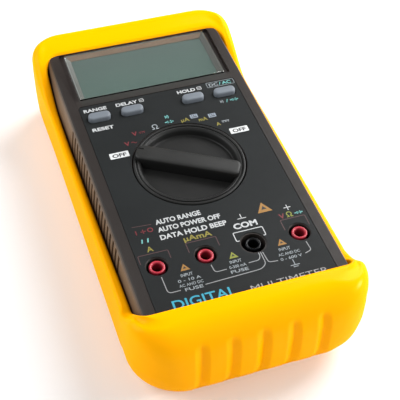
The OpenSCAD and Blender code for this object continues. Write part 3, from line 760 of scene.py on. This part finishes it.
def build_holster():
    rim = recess_rim()
    centre = np.array([0, RECESS_Y])
    loops = [at_z(centre + (rim - centre) * scale, z)
             for scale, z in ((1, 3.8), (1, 0.5), (1.006, 0.15), (1.012, 0.0))]
    loops += [at_z(wall_outline(z)[0], z) for z in UNDERSIDE_LEVELS]
    loops += outer_loops()
    loops += inner_loops(loops[-1])
    verts, faces = loft(loops)
    verts[:, 2] = np.clip(verts[:, 2], 0, HOLSTER_TOP)
    make("holster_shell", (verts, faces), "meter", "holster_yellow", ["holster"], angle=50)


# ------------------------------------------------------------------ knob
KNOB_RADIUS = 22.9
KNOB_TURN = math.radians(150)        # direction of the pointer at rest
GRIP_TOP = FACE_Z + 2.2
AXIS_RADIUS = 0.0001
KNOB_FLOOR = 34.6

# inset from the rim, z
KNOB_PROFILE = [
    (0.7, 33.75), (0.1, 34.3), (0, 34.6), (0, FACE_Z - 0.3), (0.10, FACE_Z - 0.05),
    (0.3, FACE_Z + 0.1), (0.62, FACE_Z + 0.15), (0.95, FACE_Z + 0.10), (1.14, FACE_Z - 0.05),
    (1.2, FACE_Z - 0.4), (1.55, FACE_Z - 0.45), (1.62, FACE_Z - 0.12), (1.78, FACE_Z + 0.04),
    (2.05, FACE_Z + 0.06), (2.4, FACE_Z - 0.08), (2.8, FACE_Z - 0.38), (3.1, FACE_Z - 0.8),
    (3.3, FACE_Z - 1.3), (3.65, 35.4), (3.8, 34.95), (4.0, 34.76), (4.2, 34.68),
    (4.45, 34.66), (5.2, 34.64), (9, 34.62), (15, KNOB_FLOOR),
]
# z, width, how far the ends reach out
GRIP_LEVELS = [
    (34.2, 8.7, 0.35), (36.0, 8.45, 0.2), (38.2, 8.15, 0.05), (GRIP_TOP - 0.95, 7.9, 0.0),
    (GRIP_TOP - 0.6, 7.72, -0.08), (GRIP_TOP - 0.34, 7.4, -0.22),
    (GRIP_TOP - 0.16, 6.9, -0.45), (GRIP_TOP - 0.05, 6.2, -0.75), (GRIP_TOP, 5.2, -1.2),
]


def grip_bar():
    """bar across the disc with drafted sides, lying along x"""
    loops = []
    for z, width, reach in GRIP_LEVELS:
        tail = -20.95 - min(reach, 0.1)
        tip = 22.35 + reach
        loops.append(at_z(rounded_rect(tip - tail, width, 2.5 + 0.3 * reach, 12,
                                       (tail + tip) / 2), z))
    verts, faces = loft(loops)
    # slight crown along the bar
    upper = verts[:, 2] > GRIP_TOP - 1.3
    verts[upper, 2] -= 0.12 * (verts[upper, 0] / KNOB_RADIUS) ** 2
    return verts, faces


def turned(shape):
    """turn a shape to the pointer's direction and move it to the knob's place"""
    verts, faces = shape
    x, y, z = verts.T
    cos, sin = math.cos(KNOB_TURN), math.sin(KNOB_TURN)
    return np.c_[x * cos - y * sin, x * sin + y * cos + KNOB_Y, z], faces


def build_knob():
    profile = [(KNOB_RADIUS - inset, z) for inset, z in KNOB_PROFILE]
    disc = revolve([(AXIS_RADIUS, 33.75)] + profile + [(AXIS_RADIUS, KNOB_FLOOR)], 144)
    notch = stack([(GRIP_TOP - 0.45, 3.4, 0.62, 0.3), (GRIP_TOP + 0.4, 3.5, 0.8, 0.38)],
                  6, 21.0, -1.3)
    make_union("selector_knob_moulded", [turned(disc), turned(grip_bar())], [turned(notch)],
               "knob", "knob_charcoal", ["selector_knob"], angle=32)


# ------------------------------------------------------------------ push keys
KEY_TOP = FACE_Z + 2.0
# z, width, length, corner radius
KEY_LEVELS = [
    (34.2, 11.0, 5.7, 1.2), (35.3, 11.0, 5.7, 1.2), (35.4, 9.62, 4.32, 1.9),
    (38.6, 9.58, 4.28, 1.9), (KEY_TOP - 0.85, 9.5, 4.2, 1.88), (KEY_TOP - 0.5, 9.32, 4.02, 1.8),
    (KEY_TOP - 0.25, 9.02, 3.72, 1.7), (KEY_TOP - 0.09, 8.55, 3.25, 1.5),
    (KEY_TOP - 0.02, 7.7, 2.5, 1.15), (KEY_TOP, 5.5, 1.2, 0.5),
]


def build_keys():
    for node, body, x, y in KEYS:
        make(node + "_cap", stack(KEY_LEVELS, 10, x, y), body, "button_grey", [node],
             angle=40)


# ------------------------------------------------------------------ label film
def build_label():
    """inset film with its cut-outs"""
    bottom = FACE_Z - 0.28
    below, above = bottom - 1, LABEL_TOP + 1
    width, length = (LABEL_HI - LABEL_LO)[:2]
    film = stack([(bottom, width, length, 1.5), (LABEL_TOP - 0.06, width, length, 1.5),
                  (LABEL_TOP, width - 0.16, length - 0.16, 1.42)],
                 6, 0, (LABEL_LO[1] + LABEL_HI[1]) / 2)
    cutters = [revolve([(23.5, below), (23.5, above)], 128, 0, KNOB_Y)]
    for i, x in enumerate(JACK_XS):
        radius = 5.2 if i == BLACK_JACK else 4.45
        cutters.append(revolve([(radius, below), (radius, above)], 64, x, JACK_Y))
    for _, _, x, _ in KEYS:
        cutters.append(stack([(z, 10.3, 5.0, 2.2) for z in (below, above)], 10, x, KEYS[0][3]))
    make_union("face_label_film", [film], cutters, "meter", "label_print", ["face_label"],
               angle=20)


# ------------------------------------------------------------------ print helpers
# Shapes gather here by ink; each ink becomes one piece.
PRINT = {color: [] for color in INK}
INK_BOTTOM, INK_TOP = LABEL_TOP - 0.02, LABEL_TOP + 0.035
OVERPRINT = 0.012                    # lift of ink laid over ink
CAPITAL_HEIGHT = 0.729               # of a capital in the font at size 1


def text(color, string, x, y, height, width, align="c", bold=0.0, lift=0.0):
    """flat lettering: x is its middle, or its left end with align "l"; y is mid height"""
    curve = bpy.data.curves.new("lettering", "FONT")
    curve.body = string
    curve.size = 1.0
    curve.offset = bold
    curve.resolution_u = 4
    curve.extrude = 0.5
    letters = link_object("lettering", curve)
    graph = bpy.context.evaluated_depsgraph_get()
    mesh = bpy.data.meshes.new_from_object(letters.evaluated_get(graph))
    points = np.zeros(len(mesh.vertices) * 3)
    mesh.vertices.foreach_get("co", points)
    points = points.reshape(-1, 3)
    faces = [tuple(polygon.vertices) for polygon in mesh.polygons]
    bpy.data.objects.remove(letters)
    bpy.data.curves.remove(curve)
    bpy.data.meshes.remove(mesh)
    left, right = points[:, 0].min(), points[:, 0].max()
    across = (points[:, 0] - (left + right) / 2) * width / (right - left)
    if align == "l":
        across += width / 2
    up = points[:, 1] * height / CAPITAL_HEIGHT - height / 2
    z = np.where(points[:, 2] > 0, INK_TOP, INK_BOTTOM) + lift
    PRINT[color].append((np.c_[x + across, y + up, z], faces))


def stroke(color, points, width, closed=False, lift=0.0):
    """polyline as a thin closed ribbon with mitred corners"""
    points = np.array(points, float)
    count = len(points)
    left, right = [], []
    for i, point in enumerate(points):
        if closed:
            before, after = points[i - 1], points[(i + 1) % count]
        else:
            before, after = points[max(i - 1, 0)], points[min(i + 1, count - 1)]
        arriving, leaving = point - before, after - point
        if np.linalg.norm(arriving) <= 1e-9:
            arriving = leaving
        elif np.linalg.norm(leaving) <= 1e-9:
            leaving = arriving
        arriving = arriving / np.linalg.norm(arriving)
        leaving = leaving / np.linalg.norm(leaving)
        normal = np.array([-arriving[1], arriving[0]])
        mitre = normal + np.array([-leaving[1], leaving[0]])
        mitre = mitre / max(np.dot(mitre, normal), 0.4)
        left.append(point + mitre * width / 2)
        right.append(point - mitre * width / 2)
    verts = np.concatenate([at_z(left, INK_TOP + lift), at_z(right, INK_TOP + lift),
                            at_z(left, INK_BOTTOM), at_z(right, INK_BOTTOM)])
    two, three = 2 * count, 3 * count
    faces = []
    for i in range(count if closed else count - 1):
        j = (i + 1) % count
        faces += [(i, count + i, count + j, j), (two + i, two + j, three + j, three + i),
                  (i, j, two + j, two + i), (count + i, three + i, three + j, count + j)]
    if not closed:
        faces += [(0, two, three, count), (count - 1, two - 1, 4 * count - 1, three - 1)]
    PRINT[color].append((verts, faces))


def fill(color, points, lift=0.0):
    points = np.array(points, float)
    PRINT[color].append(loft([at_z(points, INK_BOTTOM + lift), at_z(points, INK_TOP + lift)]))


def rounded(points, radius):
    """polyline with its inner corners rounded"""
    points = [np.array(point, float) for point in points]
    path = [points[0]]
    for before, corner, after in zip(points, points[1:], points[2:]):
        back, ahead = np.linalg.norm(before - corner), np.linalg.norm(after - corner)
        cut = min(radius, back * 0.48, ahead * 0.48)
        start = corner + (before - corner) / back * cut
        end = corner + (after - corner) / ahead * cut
        for t in np.linspace(0, 1, 5):
            path.append((1 - t) ** 2 * start + 2 * t * (1 - t) * corner + t * t * end)
    path.append(points[-1])
    return path


def arc(x, y, radius, start, end, count):
    return [(x + radius * math.cos(math.radians(turn)), y + radius * math.sin(math.radians(turn)))
            for turn in np.linspace(start, end, count)]


def omega(color, x, y, height):
    foot = y - height * 0.42
    bow = arc(x, y + height * 0.12, height * 0.36, -58, 238, 22)
    stroke(color, [(x + height * 0.50, foot), (x + height * 0.16, foot)] + bow
           + [(x - height * 0.16, foot), (x - height * 0.50, foot)], 0.42)


def diode(color, x, y, size, width):
    """arrow with a bar, on a line"""
    stroke(color, [(x - size, y), (x + size, y)], width)
    fill(color, [(x - size * 0.45, y - size * 0.42), (x + size * 0.35, y),
                 (x - size * 0.45, y + size * 0.42)])
    stroke(color, [(x + size * 0.40, y - size * 0.45), (x + size * 0.40, y + size * 0.45)],
           width)


def waves(color, x, y, size, width):
    """upright bar with two arcs beside it"""
    left = x - size * 0.5
    stroke(color, [(left, y - size * 0.5), (left, y + size * 0.5)], width)
    for k in (0.35, 0.75):
        stroke(color, arc(left, y, size * k, -48, 48, 10), width)


def sine(color, x, y, size):
    turns = np.linspace(0, 2 * math.pi, 17)
    stroke(color, [(x - size + 2 * size * turn / (2 * math.pi),
                    y + size * 0.42 * math.sin(turn)) for turn in turns], 0.3)


def dc_mark(color, x, y, size, width):
    """line over three dashes"""
    stroke(color, [(x - size, y + 0.35), (x + size, y + 0.35)], width)
    for k in (-0.72, 0.0, 0.72):
        stroke(color, [(x + size * k - size * 0.2, y - 0.35),
                       (x + size * k + size * 0.2, y - 0.35)], width)


def triangle(color, x, y, size, lift=0.0):
    fill(color, [(x, y + size * 0.58), (x - size * 0.62, y - size * 0.45),
                 (x + size * 0.62, y - size * 0.45)], lift)


def mark(color, x, y, size):
    """triangle with a smaller dark one inside it"""
    triangle(color, x, y, size)
    triangle("dark", x, y - 0.02, size * 0.36, OVERPRINT)


def boxed(color, x, y):
    """small square with a bar in it"""
    size, width = 1.75, 0.28
    stroke(color, rounded_rect(size, size, 0.3, 2, x, y), width, closed=True)
    stroke(color, [(x - size * 0.3, y), (x + size * 0.3, y)], width)


def range_box(x, y):
    """block with a dashed line above a solid one"""
    fill("slate", rounded_rect(3.3, 2.3, 0.25, 2, x, y))
    for left in (-1.15, -0.25, 0.65):
        stroke("dark", [(x + left, y + 0.45), (x + left + 0.5, y + 0.45)], 0.42,
               lift=OVERPRINT)
    stroke("dark", [(x - 1.15, y - 0.45), (x + 1.15, y - 0.45)], 0.42, lift=OVERPRINT)


# ------------------------------------------------------------------ print
# text arguments: ink, words, x, y, height, width
def print_selector():
    """legends round the knob"""
    for x in (-26.05, 26.05):
        fill("bright", rounded_rect(8.0, 3.3, 0.25, 2, x, 7.95))
        text("dark", "OFF", x, 7.93, 1.95, 5.9, bold=0.03, lift=OVERPRINT)
    text("red", "V", -21.2, 13.3, 2.3, 2.2, bold=0.03)
    sine("red", -18.2, 13.3, 1.1)
    text("red", "V", -16.6, 18.2, 2.3, 2.2, bold=0.03)
    dc_mark("red", -13.4, 18.1, 1.25, 0.26)
    omega("pale", -7.3, 19.7, 2.9)
    diode("teal", -0.6, 21.0, 1.9, 0.5)
    waves("teal", -0.5, 24.2, 1.7, 0.36)
    text("yellow", "µA", 6.2, 20.3, 2.1, 3.6, bold=0.02)
    range_box(10.5, 21.3)
    text("yellow", "mA", 13.6, 18.6, 2.1, 3.8, bold=0.02)
    range_box(18.1, 19.6)
    text("yellow", "A", 18.9, 13.9, 2.1, 1.9, bold=0.02)
    dc_mark("pale", 22.4, 14.6, 1.6, 0.36)


def print_keys():
    """legends above and below the push keys"""
    text("white", "RANGE", -28.5, 37.3, 1.9, 9.9, bold=0.034)
    text("white", "RESET", -28.2, 25.1, 1.9, 9.2, bold=0.034)
    text("white", "DELAY", -14.6, 37.3, 1.9, 9.6, bold=0.034)
    boxed("white", -8.0, 37.4)
    text("white", "HOLD", 12.4, 37.6, 1.9, 8.2, bold=0.034)
    boxed("white", 18.4, 37.7)
    stroke("pale", rounded_rect(12.4, 3.1, 0.3, 2, 28.4, 38.2), 0.2, closed=True)
    text("pale", "DC", 25.2, 38.2, 1.9, 4.1, bold=0.02)
    text("teal", "AC", 31.2, 38.2, 1.9, 4.2, bold=0.02)
    stroke("teal", [(27.8, 37.3), (28.6, 39.1)], 0.3)
    waves("pale", 25.2, 26.6, 1.5, 0.28)
    stroke("teal", [(27.0, 25.6), (27.8, 27.5)], 0.3)
    diode("teal", 30.6, 26.5, 1.9, 0.5)


def print_functions():
    """three lines of function words"""
    for words, x, y, width in (("AUTO RANGE", -22.9, -31.2, 18.2),
                               ("AUTO POWER OFF", -23.1, -35.1, 25.2),
                               ("DATA HOLD BEEP", -23.3, -39.0, 26.6)):
        text("white", words, x, y, 2.35, width, align="l", bold=0.031)


def print_sockets():
    """legends and brackets over the sockets, from -X to +X"""
    def bracket(color, points, width=0.34):
        stroke(color, rounded(points, 0.5), width)

    stroke("maroon", [(-32.2, -31.0), (-24.6, -31.6)], 0.28)
    for x in (-31.4, -28.6):
        stroke("red", [(x, -35.2), (x, -33.2)], 0.4)
    stroke("red", [(-29.6, -34.2), (-27.6, -34.2)], 0.4)
    stroke("red", arc(-25.8, -34.1, 0.95, 0, 360, 20)[:-1], 0.4, closed=True)
    for x in (-30.4, -28.1):
        stroke("teal", [(x + 0.25, -37.9), (x - 0.25, -39.8)], 0.55)
    text("yellow", "A", -28.7, -43.1, 2.5, 2.5, bold=0.02)
    bracket("maroon", [(-34.1, -49.4), (-34.1, -45.4), (-22.4, -45.4), (-22.4, -49.4)])

    text("yellow", "µAmA", -9.6, -42.3, 2.6, 11.2, bold=0.022)
    bracket("maroon", [(-15.1, -49.2), (-15.1, -44.5), (-3.1, -44.5), (-3.1, -49.2)])

    stroke("white", [(9.6, -36.7), (9.6, -38.9)], 0.34)
    stroke("white", [(7.9, -38.9), (11.4, -38.9)], 0.34)
    text("white", "COM", 9.8, -42.2, 2.7, 9.6, bold=0.036)
    bracket("white", [(4.9, -49.4), (3.7, -49.4), (3.7, -45.1),
                      (15.6, -45.1), (15.6, -49.4), (14.6, -49.4)], 0.36)

    stroke("white", [(28.6, -37.4), (28.6, -40.2)], 0.34)
    stroke("white", [(27.2, -38.8), (30.0, -38.8)], 0.34)
    text("red", "V", 24.9, -42.5, 2.4, 2.3, bold=0.03)
    omega("green", 28.0, -42.4, 2.6)
    diode("teal", 31.9, -42.5, 1.7, 0.46)
    bracket("maroon", [(23.4, -49.6), (23.4, -44.4), (33.6, -44.4), (33.6, -49.6)])

    mark("amber", 19.6, -36.3, 4.9)
    mark("amber", -19.1, -55.3, 3.0)
    mark("green", 0.0, -55.2, 2.9)
    mark("amber", 19.7, -54.7, 2.9)


# words, x, y, height, width, bold
RANGE_NOTES = [
    ("INPUT", -19.3, -58.6, 1.4, 4.6, 0.016),
    ("0 - 10 A", -19.0, -60.9, 1.3, 8.8, 0.010),
    ("AC AND DC", -19.0, -63.1, 1.3, 9.2, 0.010),
    ("FUSE", -18.6, -65.2, 1.4, 6.9, 0.014),
    ("INPUT", 0.0, -58.1, 1.4, 4.6, 0.016),
    ("0-300 mA", 0.0, -60.4, 1.4, 6.6, 0.012),
    ("FUSE", 0.0, -62.6, 1.4, 6.9, 0.014),
    ("INPUT", 19.7, -57.9, 1.4, 4.6, 0.016),
    ("AC AND DC", 20.6, -60.3, 1.3, 8.6, 0.010),
    ("0 - 600 V", 20.6, -62.5, 1.3, 8.6, 0.010),
]
# corner radius, points of the lines from the sockets to the notes
NOTE_LINES = [
    (1.6, [(-28.5, -57.1), (-28.4, -64.9), (-23.6, -64.9)]),
    (1.4, [(-14.2, -65.0), (8.0, -64.4), (10.4, -62.6), (10.4, -56.9)]),
    (1.3, [(-9.3, -57.0), (-9.0, -60.8), (-4.4, -60.7)]),
    (1.0, [(4.4, -60.3), (8.6, -60.2), (9.6, -58.6), (9.6, -56.8)]),
    (1.0, [(28.9, -57.0), (29.2, -61.4), (26.4, -62.3)]),
    (1.0, [(15.2, -62.6), (11.6, -62.2), (11.2, -57.0)]),
]


def print_notes():
    """range notes between the sockets, their lines and the earth mark"""
    for words, x, y, height, width, bold in RANGE_NOTES:
        text("pale", words, x, y, height, width, bold=bold)
    for radius, points in NOTE_LINES:
        stroke("thin", rounded(points, radius), 0.32)
    stroke("pale", [(20.6, -63.6), (20.6, -66.3)], 0.32)
    stroke("pale", [(18.8, -66.3), (22.4, -66.3)], 0.32)
    stroke("pale", [(19.6, -67.1), (21.6, -67.1)], 0.3)


def print_title():
    """kind of instrument, along the -Y end"""
    text("blue", "DIGITAL", -28.5, -70.6, 4.3, 24.0, align="l", bold=0.012)
    text("thin", "MULTIMETER", 1.0, -71.8, 2.8, 30.5, align="l", bold=-0.004)


def build_print():
    print_selector()
    print_keys()
    print_functions()
    print_sockets()
    print_notes()
    print_title()
    for color, shapes in PRINT.items():
        make("print_" + color, merge(shapes), "meter", "label_print", angle=20,
             mat=INK[color])


# ------------------------------------------------------------------ display
VIEW_HALF_WIDTH, VIEW_HALF_LENGTH = 30.4, 12.5
DISPLAY_Y = (WINDOW_LO[1] + WINDOW_HI[1]) / 2
WINDOW_WIDTH, WINDOW_LENGTH = (WINDOW_HI - WINDOW_LO)[:2]


def build_lens():
    bottom, top = WINDOW_LO[2], WINDOW_HI[2]
    # z, inset, corner radius
    levels = [(bottom, 0.25, 0.6), (bottom + 0.2, 0.0, 0.8), (top - 0.45, 0.0, 0.8),
              (top - 0.2, 0.10, 0.75), (top - 0.06, 0.28, 0.65), (top, 0.55, 0.5)]
    rows = [(z, WINDOW_WIDTH - 2 * inset, WINDOW_LENGTH - 2 * inset, radius)
            for z, inset, radius in levels]
    make("display_window_lens", stack(rows, 6, 0.0, DISPLAY_Y), "meter", "window_clear",
         ["display_window"], angle=25)


def build_surround():
    """slanted surround: a closed ring"""
    low, high = mm_box("display_frame")
    bottom, top = low[2], high[2]
    half_width, half_length = WINDOW_WIDTH / 2, WINDOW_LENGTH / 2
    # half width, half length, shift along y, z
    sections = [(half_width - inset, half_length - inset, 0, z) for inset, z in
                ((0.02, bottom), (0.02, top), (0.65, top), (0.85, top - 0.12))]
    sections += [(VIEW_HALF_WIDTH + grow, VIEW_HALF_LENGTH + grow, -0.2, z) for grow, z in
                 ((0.15, bottom + 0.22), (0, bottom + 0.1), (0, bottom))]
    loops = [at_z(rounded_rect(2 * across, 2 * along, 0.5, 4, 0.0, DISPLAY_Y + shift), z)
             for across, along, shift, z in sections]
    make("display_surround", loft(loops, ring=True), "meter", "bezel_grey",
         ["display_frame"], angle=30)


def build_lcd():
    low, high = mm_box("lcd_panel")
    width, length = (high - low)[:2]
    levels = [(low[2], 0.1), (low[2] + 0.1, 0), (high[2] - 0.12, 0), (high[2], 0.12)]
    rows = [(z, width - 2 * inset, length - 2 * inset, 0.3) for z, inset in levels]
    make("lcd_glass", stack(rows, 3, 0, (low[1] + high[1]) / 2), "meter", "lcd_glass",
         ["lcd_panel"], angle=30)


# ------------------------------------------------------------------ sockets
def jack_post(x):
    """flanged tube with a rounded rim, wider inside below z 33.2"""
    bottom, top = JACK_LO[2], JACK_HI[2]
    profile = [
        (JACK_FLANGE_RADIUS, bottom), (JACK_FLANGE_RADIUS, bottom + 1.4), (5.4, bottom + 1.6),
        (3.12, bottom + 1.65), (3.1, bottom + 2.0), (3.08, top - 0.5), (2.98, top - 0.18),
        (2.8, top - 0.03), (2.58, top), (2.36, top - 0.04), (2.16, top - 0.2),
        (2.05, top - 0.5), (1.97, top - 0.9), (1.95, 33.2), (2.56, 33.2), (2.56, bottom),
    ]
    return revolve(profile, 64, x, JACK_Y, ring=True)


def build_jacks():
    red = [jack_post(x) for i, x in enumerate(JACK_XS) if i != BLACK_JACK]
    make("jack_posts_red_moulded", merge(red), "meter", "jack_red", ["jack_posts_red"],
         angle=40)
    make("jack_post_black_moulded", jack_post(JACK_XS[BLACK_JACK]), "meter", "jack_black",
         ["jack_post_black"], angle=40)


# ------------------------------------------------------------------ CAD pieces that stay
def dress_cad():
    """give every CAD piece its material and ease the edges of the large ones"""
    for subpart in frame["record"]["subparts"]:
        piece = NODES[subpart["node"]]
        mat = MATERIALS[subpart["material_slot"]]
        if not piece.data.materials:
            piece.data.materials.append(mat)
        for i in range(len(piece.material_slots)):
            piece.material_slots[i].material = mat
    for name, width in (("front_case", 0.15), ("tilt_stand", 0.35), ("rear_case", 0.3),
                        ("battery_door", 0.25)):
        bevel = NODES[name].modifiers.new("ease", "BEVEL")
        bevel.width = width * MM
        bevel.segments = 2
        bevel.limit_method = "ANGLE"
        bevel.angle_limit = math.radians(40)
        bevel.harden_normals = False


# ------------------------------------------------------------------ stage, in metres
def build_floor():
    """pale floor, seen only from above"""
    half = 3.0
    mesh = bpy.data.meshes.new("floor")
    mesh.from_pydata([(-half, -half, 0), (half, -half, 0), (half, half, 0), (-half, half, 0)],
                     [], [(0, 1, 2, 3)])
    floor = link_object("floor", mesh)
    floor.location.z = -0.0001
    mat, tree, shader, out = new_material("floor_pale")
    set_inputs(tree, shader, {"Base Color": (0.828, 0.834, 0.843, 1), "Roughness": 0.7,
                              "Specular IOR Level": 0.1})
    behind = add_node(tree, "NewGeometry").outputs["Backfacing"]
    blend_transparent(tree, behind, shader, out)
    mesh.materials.append(mat)


def build_world():
    """pale surroundings, dimmer high up beyond the display end"""
    world = bpy.data.worlds.new("studio")
    bpy.context.scene.world = world
    world.use_nodes = True
    tree = world.node_tree
    direction = add_node(tree, "TexCoord").outputs["Generated"]
    # 1: direction of the dimmest part
    towards = add_node(tree, "VectorMath", {0: direction, 1: (0.243, 0.630, 0.737)},
                       operation="DOT_PRODUCT").outputs["Value"]
    set_inputs(tree, tree.nodes["Background"], {
        "Strength": remap(tree, towards, to=(0.68, 0.13), span=(0.20, 0.95),
                          interpolation_type="SMOOTHSTEP"),
        "Color": (0.965, 0.99, 1.0, 1)})


def area_light(name, place, target, size, power, color=(1, 1, 1)):
    light = bpy.data.lights.new(name, "AREA")
    light.shape = "RECTANGLE"
    light.size, light.size_y = size
    light.energy = power
    light.color = color
    lamp = link_object(name, light)
    lamp.location = place
    aim = Vector(target) - Vector(place)
    lamp.rotation_euler = aim.to_track_quat("-Z", "Y").to_euler()


def build_lights():
    area_light("back_right", place=(0.584, 0.290, 0.54), target=(0.0, 0.0, 0.02),
               size=(0.62, 0.62), power=11.6)
    area_light("right_window", place=(0.60, -0.29, 0.26), target=(0.0, -0.04, 0.02),
               size=(0.16, 0.13), power=3.1)
    area_light("left_soft", place=(-0.54, 0.22, 0.44), target=(0, 0, 0.02),
               size=(0.60, 0.60), power=4.2, color=(0.99, 0.995, 1.0))


def build_camera():
    data = bpy.data.cameras.new("camera")
    data.sensor_width = 36.0
    data.lens = 88.29
    data.clip_start = 0.01
    data.clip_end = 20
    camera = link_object("camera", data)
    # the camera's right, up and backward directions, then its place
    camera.matrix_world = Matrix((
        (0.945383, -0.32414, 0.034408, 0),
        (0.217327, 0.705463, 0.674604, 0),
        (-0.24294, -0.630281, 0.737378, 0),
        (-0.09601, -0.26730, 0.32129, 1))).transposed()
    scene = bpy.context.scene
    scene.camera = camera
    scene.view_settings.view_transform = "Standard"
    scene.view_settings.look = "None"


dress_cad()
build_holster()
build_knob()
build_keys()
build_label()
build_print()
build_lens()
build_surround()
build_lcd()
build_jacks()
build_floor()
build_world()
build_lights()
build_camera()
